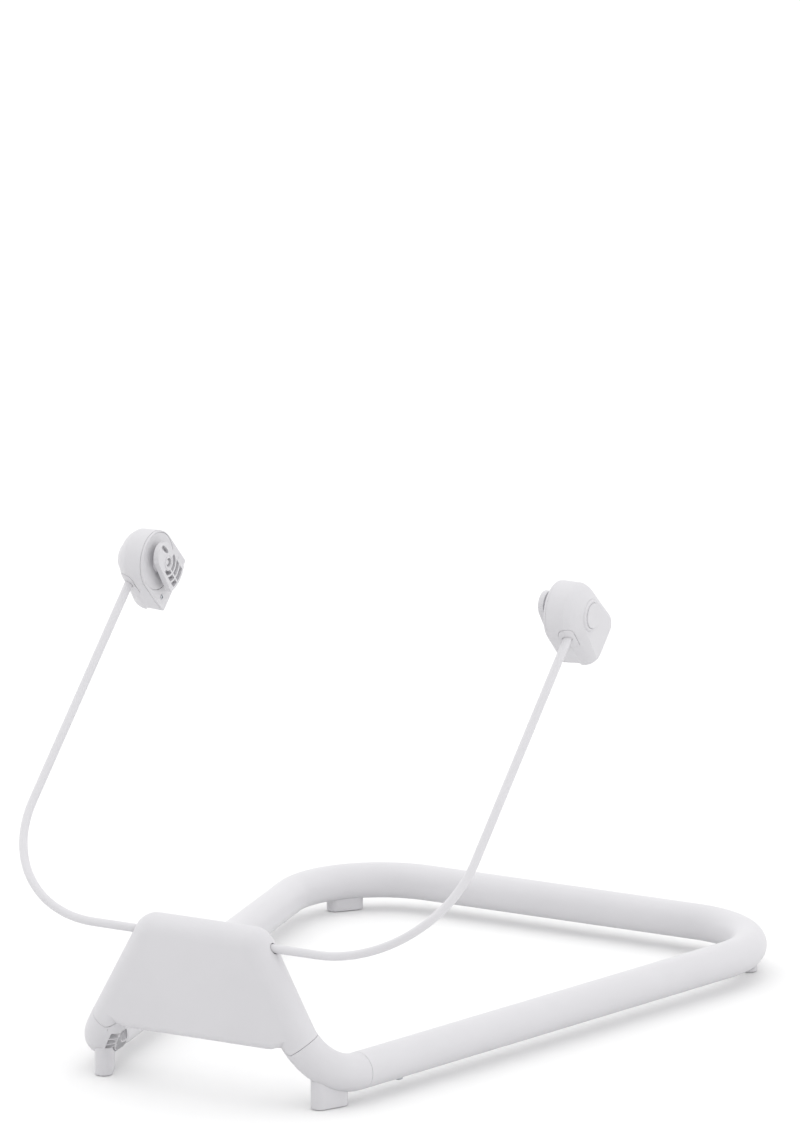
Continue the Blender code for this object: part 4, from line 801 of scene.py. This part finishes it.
print("housing is (mm) wide at its top edge's axis:", round(2 * side_x(TOP_Z) / MM, 1))

# %% Housing
ELBOW_ROOM = 38                       # mm cleared below the joint, where the elbow's body goes
EDGE_PAST = 9.5 * MM                  # the hollow in the round edge opens this far into that room
ROD_HOLE_R = ROD_R + 0.9 * MM
ROD_HOLE_REACH = 120.0 * MM
front = Vector((0, -1, 0))
housing = to_object("housing_moulding", housing_plate())
path, radii = lipped(edge_line(), TUBE_R)
join(housing, sweep(path, radii, ROUND, front))
half = PLATE_HALF - WALL
cut(housing, loft([on_slab(hollow_outline(), -half), on_slab(hollow_outline(), half)]))
cut(housing, sweep(edge_line(EDGE_PAST), TUBE_R - WALL, ROUND, front))
for _, sign in SIDES:
    at_seam = seam + seam_way * FIT / 2
    cut(housing, on_side(bar(at_seam, at_seam - seam_way * ELBOW_ROOM * MM, TUBE_R + FIT, ROUND), sign),
        on_side(below_wave(0.0), sign))
opening = cover_outline(0.0)
cut(housing, loft([on_slab(opening, half - 1 * MM), on_slab(opening, 2 * TUBE_R)]))
cut(housing, bar(ROD_BASE - X * ROD_HOLE_REACH, ROD_BASE + X * ROD_HOLE_REACH, ROD_HOLE_R, 40))
dress(housing, frame_moulding, "base", "frame_plastic", "housing", sharp=24)
print("housing faces:", len(housing.data.polygons))

# %% [markdown]
# ## Housing cover and screws
# The back of the housing is closed by a flat cover on four pan-head screws. The cover is the opening's
# outline made smaller by the clearance. The screws repeat, so one is turned once and a tree sets a
# copy on every point, turned the way that the screws look out.

# %% Screw tree
SCREW_HEAD_R = 3.4 * MM
SCREW_HEAD_H = 2.0 * MM
SCREW_CROWN = 0.7 * MM
SHANK_R, SHANK_TIP_R, SHANK_TIP = 1.7 * MM, 0.6 * MM, 1.5 * MM
CROSS_WIDTH, CROSS_DEPTH = 0.9 * MM, 2.4 * MM
CROSS_LENGTH = 1.06                   # of the head's radius
screw_tree, given, result = node_tree("screws_on_points", Screw="Object", Turn="Rotation", Finish="Material")
model = add(screw_tree, "GeometryNodeObjectInfo", Object=given["Screw"])
laid = add(screw_tree, "GeometryNodeInstanceOnPoints", Points=given["Geometry"],
           Instance=model.outputs["Geometry"], Rotation=given["Turn"])
real = add(screw_tree, "GeometryNodeRealizeInstances", Geometry=laid.outputs[0])
plated = add(screw_tree, "GeometryNodeSetMaterial", Geometry=real.outputs[0], Material=given["Finish"])
screw_tree.links.new(plated.outputs[0], result)


def screw_model(length, head):
    """One pan-head screw along -Z, its head's top at the origin, with a cross recess."""
    crown = [(SCREW_CROWN * (1 - math.cos(a)), head * (0.25 + 0.75 * math.sin(a))) for a in quarter(6)]
    profile = crown + [(SCREW_HEAD_H, head), (SCREW_HEAD_H, SHANK_R), (length - SHANK_TIP, SHANK_R),
                       (length, SHANK_TIP_R)]
    obj = to_object("screw", turned(Vector(), -Z, profile, 28))
    across, along = (head * CROSS_LENGTH, CROSS_WIDTH), (CROSS_WIDTH, head * CROSS_LENGTH)
    for size in (across, along):
        cut(obj, block(Vector(), size + (CROSS_DEPTH,)))
    return obj


def set_screws(name, points, way, length, head, body, *nodes):
    """A screw at every point, its head looking the given way, as one piece."""
    model = screw_model(length, head)
    screws = points_object(name, points)
    grown(screws, screw_tree, Screw=model, Turn=way.to_track_quat("Z", "Y").to_euler(), Finish=zinc_plate)
    bpy.data.objects.remove(model, do_unlink=True)
    return dress(screws, zinc_plate, body, "plated_steel", *nodes)


print("screw tree nodes:", len(screw_tree.nodes))

# %% Housing cover
COVER_T = 2.4 * MM
COVER_SCREWS = ((38, 133), (62, 86))  # X and Z of the right-hand screws in mm
RECESS = 1.2                          # mm that a screw's head sits in a cover
outline = cover_outline(FIT)
cover = to_object("housing_cover_moulding", loft([on_slab(outline, PLATE_HALF - COVER_T),
                                                  on_slab(outline, PLATE_HALF)]))
soften(cover, 0.4 * MM, 40, 2)
heads = []
for x, z in [(sign * x * MM, z * MM) for sign in (1, -1) for x, z in COVER_SCREWS]:
    spot = Vector((x, MID_Y + PLATE_HALF, z))
    cut(cover, bar(spot - Y * RECESS * MM, spot + Y * MM, SCREW_HEAD_R + FIT))
    heads.append(spot - Y * (RECESS * MM - SCREW_HEAD_H))
dress(cover, frame_moulding, "base", "frame_plastic", "housing_cover")
set_screws("cover_screws", heads, Y, 12 * MM, SCREW_HEAD_R, "base", "cover_screw_upper_right",
           "cover_screw_lower_right", "cover_screw_upper_left", "cover_screw_lower_left")
print("cover screws:", len(heads))

# %% [markdown]
# ## Hubs
# Each hub is a tilted tombstone: a round end about 63 mm across where the seat turns, and a flat end
# that leans back. It is easiest to build upright at the origin and to turn into its place at the rod's
# tip. The outer moulding is lofted from outlines that shrink towards the button's cap, with extra rows
# worked out between the measured ones so that the shoulder rolls over smoothly.

# %% Hub frame and outlines
HUB_PLACE = Matrix.Translation(HUB_CENTRE) @ Matrix.Rotation(ROD_TILT, 4, "X")
UP_ROD, DOWN = Y, -Z                  # before a hub is turned: along the rod, and square to it
# In the cells on the hubs, plain numbers are millimetres until at_hub or a profile turns them to metres.
HUB_IN = 233.0
HUB_WALL = 2.6
# X, round end's radius, flat end, half widths there (upper, lower) and their corners
HUB_ROWS = (
    (235.8, 31.8, 46.6, 31.4, 31.5, 3.0, 3.0), (252.2, 31.6, 45.8, 31.1, 31.1, 4.0, 3.5),
    (255.0, 31.4, 48.9, 30.9, 31.6, 6.0, 5.0), (257.8, 30.1, 49.2, 30.5, 31.2, 8.0, 5.5),
    (261.2, 28.0, 49.0, 29.5, 30.3, 9.5, 6.0), (264.5, 24.8, 48.4, 27.7, 28.9, 10.5, 6.5),
    (267.2, 21.2, 47.5, 25.4, 27.0, 11.0, 7.0), (269.2, 18.6, 46.2, 23.1, 24.9, 11.0, 7.0),
    (270.3, 17.0, 44.6, 21.1, 23.1, 10.0, 6.5))


def at_hub(x, along=0.0, down=0.0):
    """A point before the hub is turned, from millimetres."""
    return (X * x + UP_ROD * along + DOWN * down) * MM


def in_metres(profile):
    return [(x * MM, r * MM) for x, r in profile]


def tombstone(x, radius, flat, upper, lower, upper_corner, lower_corner):
    points = arc(at_hub(x), UP_ROD, DOWN, radius * MM, math.pi, 2 * math.pi, 44)
    for side, half, corner, a in ((1, upper, upper_corner, 0.0), (-1, lower, lower_corner, math.pi / 2)):
        turn = at_hub(x, side * (half - corner), flat - corner)
        points += arc(turn, UP_ROD, DOWN, corner * MM, a, a + math.pi / 2, 10)
    return points


def between(rows, steps):
    """Rows with smooth ones added between them, on curves through the given rows."""
    full = [rows[0]]
    for i in range(len(rows) - 1):
        a, b = rows[i], rows[i + 1]
        before = rows[i - 1] if i > 0 else a
        after = rows[i + 2] if i + 2 < len(rows) else b
        for k in range(1, steps + 1):
            t = k / steps
            row = []
            for v0, v1, v2, v3 in zip(before, a, b, after):
                row.append(0.5 * (2 * v1 + (v2 - v0) * t + (2 * v0 - 5 * v1 + 4 * v2 - v3) * t * t
                                  + (3 * v1 - v0 - 3 * v2 + v3) * t ** 3))
            full.append(tuple(row))
    return full


def eased_rows(low, high, steps):
    """The rows between two, evenly spaced in X, whose outline eases from one to the other."""
    rows = []
    for t in [k / steps for k in range(1, steps)]:
        x = low[0] + (high[0] - low[0]) * t
        rows.append((x,) + tuple(a + (b - a) * eased(t) for a, b in zip(low[1:], high[1:])))
    return rows


FINE_ROWS = [HUB_ROWS[0], HUB_ROWS[1]] + eased_rows(HUB_ROWS[1], HUB_ROWS[2], 5) + between(HUB_ROWS[2:], 4)


def grow(row, size):
    return (row[0],) + tuple(v + size for v in row[1:5]) + row[5:]


def hub_form(size=0.0):
    """The hub's outside as a solid, grown or shrunk by a size."""
    return loft([tombstone(*grow(row, size)) for row in FINE_ROWS])


def across(x0, x1, radius, along=0.0, down=0.0, sides=48):
    """A round bar across the hub, for its bores and bosses."""
    return bar(at_hub(x0, along, down), at_hub(x1, along, down), radius * MM, sides)


def hub_block(x, along, down):
    """A block from its three pairs of limits."""
    middle = at_hub(sum(x) / 2, sum(along) / 2, sum(down) / 2)
    return block(middle, [(b - a) * MM for a, b in (x, along, down)], (X, UP_ROD, DOWN))


def to_hub(obj, sign):
    mirror_object(obj, sign)
    obj.data.transform(HUB_PLACE)
    return obj


print("hub rows:", len(FINE_ROWS))

# %% [markdown]
# ## Hub mouldings
# The shell is a thin wall round a well for the button, a bearing for the adapter and a socket for the
# rod. Outside, the cap sits in a raised rim with a hollow flare below it, and a U-shaped collar fills
# the arch where the rod goes in, with a fine dark gap all round it. A thin cover closes the inner side.

# %% Sizes inside the hubs
HUB_PAST = 274.0                      # just past the outermost face
SHELL_IN = HUB_ROWS[0][0]             # where shell and cover meet
HOLLOW_END = 264.6                    # the hollow stops here, under the outer face
HOLLOW_CORNER = 1.3                   # its smallest corner radius
WELL_FLOOR, WELL_TOP = 253.0, 271.3
CAP_R = 12.8
CAP_GAP, CAP_LIP_GAP, WELL_OUT = 0.3, 1.3, 2.8  # round the cap, its lip, and the well's outside
BORE_IN, BEARING_IN, BEARING_R, BEARING_BORE_R = 239.0, 241.2, 11.2, 8.6
SCREW_SPOTS = ((-22.9, 32.0), (22.9, 32.0))     # along the rod and square to it
BOSS_R, BOSS_BORE_R, BOSS_BORE_END = 4.0, 2.0, 246.3
SEAT_PLACES, SEAT_HALF = (-11, 11), 2.8         # two seats hold the detent spring
ROD_X = 255.2                         # ARM_X in mm
ARCH_HALF, ARCH_TOP, ARCH_LEG = 7.6, -12.5, 13.0
ARCH_ALONG = (-40, -15.8)
ROD_TIP = -17.7                       # the bore ends just past the rod's own tip
COLLAR_GAP, COLLAR_PROUD, COLLAR_IN = 0.4, 0.3, 2.7
# X and radius of the raised rim round the cap and the flare that leads up to it
FLARE = ((262.5, 20.6), (265.0, 18.9), (267.0, 17.7), (268.6, 16.9), (269.9, 16.3), (270.9, 15.9),
         (271.7, 15.5), (272.2, 15.0), (272.4, 14.4))


def arch(size):
    """The collar's arch as a solid along the rod."""
    half = ARCH_HALF + size
    turn = ARCH_TOP - size + half
    points = arc(at_hub(ROD_X, 0, turn), X, DOWN, half * MM, math.pi, 2 * math.pi, 28)
    points += [at_hub(ROD_X + half, 0, ARCH_LEG + size), at_hub(ROD_X - half, 0, ARCH_LEG + size)]
    return loft([[p + UP_ROD * along * MM for p in points] for along in ARCH_ALONG])


def hub_hollow():
    """The space inside the wall, less the well, bearing, socket, screw bosses and spring seats."""
    rows = [(HUB_IN,) + HUB_ROWS[0][1:]] + [row for row in FINE_ROWS if row[0] < HOLLOW_END][1:]
    rows = [grow(row, -HUB_WALL) for row in rows]
    rows = [row[:5] + tuple(max(corner - HUB_WALL, HOLLOW_CORNER) for corner in row[5:]) for row in rows]
    hollow = to_object("hollow", loft([tombstone(*row) for row in rows]))
    cut(hollow, across(WELL_FLOOR - HUB_WALL, HUB_PAST, CAP_R + WELL_OUT),
        across(BEARING_IN, WELL_FLOOR, BEARING_R),
        hub_block((ROD_X - 9.4, HUB_PAST), ARCH_ALONG, (-14.3, 14.8)))
    for spot in SCREW_SPOTS:
        cut(hollow, across(SHELL_IN, HUB_PAST, BOSS_R, *spot))
    for place in SEAT_PLACES:
        along = (place - SEAT_HALF, place + SEAT_HALF)
        cut(hollow, hub_block((240.0, HUB_PAST), along, (26.2, 32.2)),
            hub_block((SHELL_IN + 0.3, HUB_PAST), along, (29.7, 32.2)))
    return hollow


print("hub flare stands out to x =", FLARE[-1][0], "mm")


# %% Hub shells and rod collars
def hub_shell():
    obj = to_object("hub", hub_form())
    join(obj, turned(Vector(), X, in_metres(FLARE)))
    cut(obj, hub_hollow(), across(WELL_FLOOR, WELL_TOP, CAP_R + CAP_LIP_GAP),
        across(WELL_FLOOR + 2, HUB_PAST + 2, CAP_R + CAP_GAP, sides=ROUND),
        across(BORE_IN, WELL_FLOOR + 1, BEARING_BORE_R))
    for spot in SCREW_SPOTS:
        cut(obj, across(HUB_IN, BOSS_BORE_END, BOSS_BORE_R, *spot))
    tip = at_hub(ROD_X, ROD_TIP)
    cut(obj, bar(tip - UP_ROD * 40 * MM, tip, ROD_R + FIT))
    seat = to_object("seat", arch(COLLAR_GAP))
    cut(seat, hub_form(-COLLAR_IN - 0.3))
    return cut(obj, seat)


def rod_collar():
    obj = to_object("collar", arch(0.0))
    combine(obj, hub_form(COLLAR_PROUD), "INTERSECT")
    cut(obj, hub_form(-COLLAR_IN))
    return cut(obj, bar(at_hub(ROD_X, -48), at_hub(ROD_X), ROD_R + 0.5 * MM))


shell, collar = hub_shell(), rod_collar()
for side, sign in SIDES:
    for model, name, node in ((shell, "hub_outer", "hub_shell"), (collar, "rod_entry", "rod_collar")):
        piece = to_hub(linked(f"{name}_moulding_{side}", model.data.copy()), sign)
        dress(piece, hub_moulding, "rod", "hub_plastic", f"{node}_{side}", sharp=30)
for model in (shell, collar):
    print(model.name, "faces:", len(model.data.polygons))
    bpy.data.objects.remove(model, do_unlink=True)

# %% Hub covers and their screws
HUB_COVER_OUT = 235.5
DISC_R, DISC_GAP = 29.6, 0.3
HUB_RECESS_R = 2.6
HUB_SCREW_R = 2.35 * MM


def cover_row(x, inset):
    """The cover's outline at x, drawn in by an inset for its broken edge."""
    return tombstone(x, 31.5 - inset, 45.7 - inset, 31.4 - inset, 31.4 - inset, 1.6, 1.6)


for side, sign in SIDES:
    rows = ((HUB_IN, 0.5), (HUB_IN + 0.15, 0.15), (HUB_IN + 0.5, 0), (HUB_COVER_OUT, 0))
    cover = to_object(f"hub_cover_moulding_{side}", loft([cover_row(x, inset) for x, inset in rows]))
    cut(cover, across(HUB_IN - 1, HUB_COVER_OUT + 0.5, DISC_R + DISC_GAP, sides=96))
    heads = []
    for spot in SCREW_SPOTS:
        cut(cover, across(HUB_IN - 1, HUB_COVER_OUT + 0.5, BOSS_BORE_R, *spot),
            across(HUB_IN - 1, HUB_IN + RECESS, HUB_RECESS_R, *spot))
        head = HUB_PLACE @ at_hub(HUB_IN + RECESS - SCREW_HEAD_H / MM, *spot)
        heads.append(other_side(head, sign))
    dress(to_hub(cover, sign), hub_moulding, "rod", "hub_plastic", f"hub_cover_{side}")
    set_screws(f"hub_screws_{side}", heads, -X * sign, 11.5 * MM, HUB_SCREW_R, "rod",
               f"hub_screw_low_{side}", f"hub_screw_high_{side}")
print("hub screws on each cover:", len(SCREW_SPOTS))

# %% [markdown]
# ## Seat adapters
# The seat clips on a ribbed strap that stands on a turning disc. The strap, its stem, the disc, the
# detent cam and the journal are one moulding, so the strap is lofted, everything round is spun in one
# profile, and the pockets between the ribs are cut last. The pockets lie between arcs about the hub's
# axis, which is why they are worked out by formula.

# %% Strap and pockets
STRAP_FACE, STRAP_T = 220.5, 6.0
STRAP_TILT = math.radians(4.8)
STRAP_R, STRAP_TOP = 13.8, -10.0      # the round end's radius, and its middle along the strap
STRAP_END = 32.0                      # the wide end is an arc of this radius about the hub's axis
STRAP_FLARE = math.radians(4.7)
STRAP_BANDS = ((8.6, 13.4), (15.4, 21.0), (23.0, 28.8))
STRAP_COLUMNS = ((-11.2, -3.4), (-1.6, 12.4))
POCKET_DEPTH = 5.5
POCKET_LEAST = 1.8                    # no pocket is narrower than this, nor nearer the middle than 1.5


def strap_point(x, w, s):
    """A point on the strap: w across it and s along it towards its wide end."""
    return at_hub(x, w * math.cos(STRAP_TILT) - s * math.sin(STRAP_TILT),
                  w * math.sin(STRAP_TILT) + s * math.cos(STRAP_TILT))


def strap_outline(x, inset=0.0):
    turns = [math.pi + math.pi * i / 32 for i in range(33)]
    radius = STRAP_R - inset
    points = [strap_point(x, radius * math.cos(a), STRAP_TOP + radius * math.sin(a)) for a in turns]
    end = STRAP_END - inset
    half = STRAP_R + (end * 0.86 - STRAP_TOP) * math.tan(STRAP_FLARE) - inset
    for i in range(25):
        w = half * (1 - i / 12)
        points.append(strap_point(x, w, math.sqrt(end ** 2 - w ** 2)))
    return points


def strap_pocket(band, column):
    """A cutter between two arcs about the hub's axis and two lines along the strap."""
    low, high = band
    steps = 6 if column[1] < 0 else 14
    inner, outer = [], []
    for i in range(steps + 1):
        w = column[0] + (column[1] - column[0]) * i / steps
        far = math.sqrt(high ** 2 - w ** 2)
        outer.append((w, far))
        inner.append((w, min(math.sqrt(max(low ** 2 - w ** 2, 1.5 ** 2)), far - POCKET_LEAST)))
    loop = inner + outer[::-1]
    ends = (STRAP_FACE - 2, STRAP_FACE + POCKET_DEPTH)
    return loft([[strap_point(x, w, s) for w, s in loop] for x in ends])


print("pockets in a strap:", len(STRAP_BANDS) * len(STRAP_COLUMNS))

# %% Seat adapters
DISC_X = HUB_IN + 0.1
JOURNAL_R, GROOVE_R = 8.3, 7.4
MOUTH_R, PIN_BORE_R = 4.6, 3.1
DETENTS = (-24, -12, 0, 12, 24)       # degrees; the cam has a dent at each
DETENT_RING, DETENT_R = 26.5, 1.6
# The slanted slot in the strap's round end, across and along the strap
WEDGE = ((5.0, -21.9), (3.2, -22.6), (1.4, -22.2), (1.0, -19.8), (1.8, -16.4), (2.8, -12.8), (3.9, -9.8),
         (5.2, -8.6), (6.6, -9.0), (7.3, -11.0), (6.9, -14.6), (6.2, -18.6))
WEDGE_DEPTH = 4.4
# X and radius, from the stem out: stem, disc with its broken edge, cam, journal with its ring's groove
ROUND_PARTS = ((STRAP_FACE + 5, 10.5), (DISC_X - 0.8, 10.5), (DISC_X - 0.2, 10.8), (DISC_X, 11.4),
               (DISC_X, 29.2), (DISC_X + 0.12, 29.5), (DISC_X + 0.4, DISC_R), (DISC_X + 2.4, DISC_R),
               (DISC_X + 2.4, 25.5), (DISC_X + 6.6, 25.5), (DISC_X + 6.6, JOURNAL_R), (253.3, JOURNAL_R),
               (253.3, GROOVE_R), (254.9, GROOVE_R), (254.9, JOURNAL_R), (256.7, JOURNAL_R), (257.2, 7.8))
# The raised ring round the mouth of the bore
RIDGE = ((STRAP_FACE + 0.3, 7.6), (STRAP_FACE - 0.5, 7.4), (STRAP_FACE - 0.5, 6.2), (STRAP_FACE + 0.3, 6.0))


def seat_adapter():
    rows = [(STRAP_FACE, 0.6), (STRAP_FACE + 0.2, 0.2), (STRAP_FACE + 0.6, 0), (STRAP_FACE + STRAP_T, 0)]
    obj = to_object("adapter", loft([strap_outline(x, inset) for x, inset in rows]))
    join(obj, turned(Vector(), X, in_metres(ROUND_PARTS), 96))
    cut(obj, *[strap_pocket(band, column) for band in STRAP_BANDS for column in STRAP_COLUMNS])
    wedge = [strap_point(STRAP_FACE, w, s) for w, s in WEDGE]
    cut(obj, loft([[p + X * depth * MM for p in wedge] for depth in (-2, WEDGE_DEPTH)]))
    join(obj, loft([circle(at_hub(x), X, r * MM, 48, Z) for x, r in RIDGE], close=True))
    cut(obj, across(STRAP_FACE - 2, STRAP_FACE + 8.5, MOUTH_R), across(STRAP_FACE, 259, PIN_BORE_R))
    for degrees in DETENTS:
        a = math.radians(degrees)
        out = (DOWN * math.cos(a) - UP_ROD * math.sin(a)) * DETENT_RING * MM
        cut(obj, bar(at_hub(DISC_X + 2.7) + out, at_hub(DISC_X + 8.6) + out, DETENT_R * MM, 20))
    return obj


adapter = seat_adapter()
print("adapter faces:", len(adapter.data.polygons))
for side, sign in SIDES:
    piece = to_hub(linked(f"seat_adapter_moulding_{side}", adapter.data.copy()), sign)
    dress(piece, hub_moulding, f"adapter_{side}", "hub_plastic", f"seat_adapter_{side}", sharp=28)
bpy.data.objects.remove(adapter, do_unlink=True)

# %% [markdown]
# ## Release buttons
# A plain round cap fills each rim, with a narrow dark line round it. Behind it a pin reaches through the
# adapter and ends in the strap's bore. It is spun as one profile.

# %% Release buttons
CAP_TOP, CAP_EDGE = 273.8, 0.9
CAP_BACK, CAP_LIP_X, CAP_LIP = 269.0, 271.0, 1.0
PIN_R = 2.8
cap = [(CAP_TOP - CAP_EDGE * (1 - math.cos(a)), CAP_R - CAP_EDGE * (1 - math.sin(a)))
       for a in reversed(quarter(6))]
profile = [(221.9, 2.2), (222.05, 2.6), (222.4, PIN_R), (CAP_BACK, PIN_R), (CAP_BACK, CAP_R + CAP_LIP),
           (CAP_LIP_X, CAP_R + CAP_LIP), (CAP_LIP_X, CAP_R)] + cap
for side, sign in SIDES:
    button = to_object(f"release_cap_moulding_{side}", turned(Vector(), X, in_metres(profile), 80))
    dress(to_hub(button, sign), hub_moulding, f"button_{side}", "hub_plastic", f"release_button_{side}")
print("caps stand out by (mm):", round(CAP_TOP - FLARE[-1][0], 1))

# %% [markdown]
# ## Coil springs
# Wound steel springs push the snap buttons and the release caps back. Nobody sees them from outside,
# but they shorten when a button goes in. A plain sweep would do for one. A tree winds all four from
# their turns, radius and height.

# %% Coil springs
SPRING_WIRE = 0.8 * MM
SPRING_TURNS = 4.0
SNAP_SPRING_R, SNAP_TRAVEL = 4.0 * MM, 3.0 * MM
CAP_SPRING_R, CAP_TRAVEL = 12.2 * MM, 2.8 * MM
coil_tree, given, result = node_tree("wound_spring", Turns="Float", Coil_radius="Float", Height="Float",
                                     Wire_radius="Float", Finish="Material")
spiral = add(coil_tree, "GeometryNodeCurveSpiral", Resolution=28, Rotations=given["Turns"],
             Start_Radius=given["Coil radius"], End_Radius=given["Coil radius"], Height=given["Height"])
ring = add(coil_tree, "GeometryNodeCurvePrimitiveCircle", Resolution=10, Radius=given["Wire radius"])
skin = add(coil_tree, "GeometryNodeCurveToMesh", Curve=spiral.outputs[0], Profile_Curve=ring.outputs[0],
           Fill_Caps=True)
real = add(coil_tree, "GeometryNodeRealizeInstances", Geometry=skin.outputs[0])
plated = add(coil_tree, "GeometryNodeSetMaterial", Geometry=real.outputs[0], Material=given["Finish"])
coil_tree.links.new(plated.outputs[0], result)


def wound_spring(kind, side, foot, axes, radius, body):
    """A spring from its foot along the last of its three axes, as long as its CAD node is."""
    way = axes[2]
    low, high = [Vector(corner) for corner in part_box(f"{kind}_spring_{side}")]
    length = abs((high - low).dot(way))
    spring = points_object(f"{kind}_spring_wound_{side}", [(0, 0, 0)])
    grown(spring, coil_tree, Turns=SPRING_TURNS, Coil_radius=radius, Height=length - SPRING_WIRE,
          Wire_radius=SPRING_WIRE / 2, Finish=zinc_plate)
    place = Matrix.Translation(foot + way * SPRING_WIRE / 2)
    spring.data.transform(place @ Matrix(axes).transposed().to_4x4())
    dress(spring, zinc_plate, body, "plated_steel", f"{kind}_spring_{side}")
    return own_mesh(spring)


for side, sign in SIDES:
    low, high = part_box(f"snap_spring_{side}")
    place = other_side(side_point(SNAP_Y), sign)
    foot = Vector((place.x, place.y, low[2]))
    wound_spring("snap", side, foot, (X, Y, Z), SNAP_SPRING_R, "base")
    low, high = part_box(f"button_spring_{side}")
    foot = Vector((low[0] if sign > 0 else high[0], HUB_CENTRE.y, HUB_CENTRE.z))
    wound_spring("button", side, foot, (Y, Z * sign, X * sign), CAP_SPRING_R, "rod")
print("turns of each spring:", SPRING_TURNS)

# %% [markdown]
# ## Camera
# The photograph is a long-lens studio shot from the front right and a little above. The camera was
# solved from the outlines of the tube and the rod, so the model falls on the photograph.

# %% Camera
AZIMUTH = math.radians(29.655)
ELEVATION = math.radians(12.435)
ROLL = math.radians(0.096)
DISTANCE = 9.0
PHOTO_HEIGHT = 1134                   # pixels
FOCAL_PX = 8918.72
TARGET = Vector((38.357 * MM, FRONT_Y + 300 * MM, 478.439 * MM))
sa, ca = math.sin(AZIMUTH), math.cos(AZIMUTH)
se, ce = math.sin(ELEVATION), math.cos(ELEVATION)
to_camera = Vector((sa * ce, -ca * ce, se))
right = Vector((ca, sa, 0))
up = Vector((-sa * se, ca * se, ce))
cr, sr = math.cos(ROLL), math.sin(ROLL)
right, up = right * cr + up * sr, up * cr - right * sr
lens = bpy.data.cameras.new("camera")
lens.sensor_width = 36.0
lens.lens = FOCAL_PX / PHOTO_HEIGHT * lens.sensor_width
lens.clip_end = 60
camera = linked("camera", lens)
camera.matrix_world = Matrix.Translation(TARGET + to_camera * DISTANCE) @ Matrix(
    (right, up, to_camera)).transposed().to_4x4()
bpy.context.scene.camera = camera
print("camera lens", round(lens.lens, 1), "mm")

# %% [markdown]
# ## Floor and light
# A white product on a white sweep needs light that is nearly even. In the photograph the front is the
# darkest side, the sides and the top are brighter, and the paper is blown out to pure white. Softboxes
# could do it, but a sky whose brightness changes smoothly with direction gives the same wrap of light
# with no hard edges, and each of its five directions has one number to set.

# %% Floor
FLOOR_HALF = 12.0
scene = bpy.context.scene
scene.view_settings.view_transform = "Standard"
scene.view_settings.look = "None"
floor_mesh = bpy.data.meshes.new("floor")
corners = [(x * FLOOR_HALF, y * FLOOR_HALF, 0) for x, y in ((-1, -1), (1, -1), (1, 1), (-1, 1))]
floor_mesh.from_pydata(corners, [], [(0, 1, 2, 3)])
floor = linked("floor", floor_mesh)
paper = bpy.data.materials.new("white_paper_sweep")
paper.use_nodes = True
paper_shader = paper.node_tree.nodes["Principled BSDF"]
paper_shader.inputs["Base Color"].default_value = hex_rgba("EEEEEE")
paper_shader.inputs["Roughness"].default_value = 1.0
paper_shader.inputs["Specular IOR Level"].default_value = 0.0
floor_mesh.materials.append(paper)
print("floor is (m) wide:", 2 * FLOOR_HALF)

# %% Sky
# Each direction's axis, its sign, and how bright the sky is there
SKY = {"right": (0, 1, 1.36), "left": (0, -1, 1.48), "back": (1, 1, 1.03), "front": (1, -1, 0.73),
       "top": (2, 1, 1.47)}
sky = bpy.data.worlds.new("studio")
sky.use_nodes = True
scene.world = sky
tree = sky.node_tree
way = add(tree, "ShaderNodeSeparateXYZ", Vector=add(tree, "ShaderNodeTexCoord").outputs["Generated"])
strength = 0.0
for axis, sign, level in SKY.values():
    turned_way = add(tree, MATH, {"operation": "MULTIPLY"}, in0=way.outputs[axis], in1=sign)
    facing = add(tree, MATH, {"operation": "MAXIMUM"}, in0=turned_way.outputs[0], in1=0.0)
    square = add(tree, MATH, {"operation": "POWER"}, in0=facing.outputs[0], in1=2.0)
    share = add(tree, MATH, {"operation": "MULTIPLY_ADD"}, in0=square.outputs[0], in1=level, in2=strength)
    strength = share.outputs[0]
tree.links.new(strength, tree.nodes["Background"].inputs["Strength"])
tree.nodes["Background"].inputs["Color"].default_value = (1, 1, 1, 1)
print("sky levels:", {name: values[2] for name, values in SKY.items()})
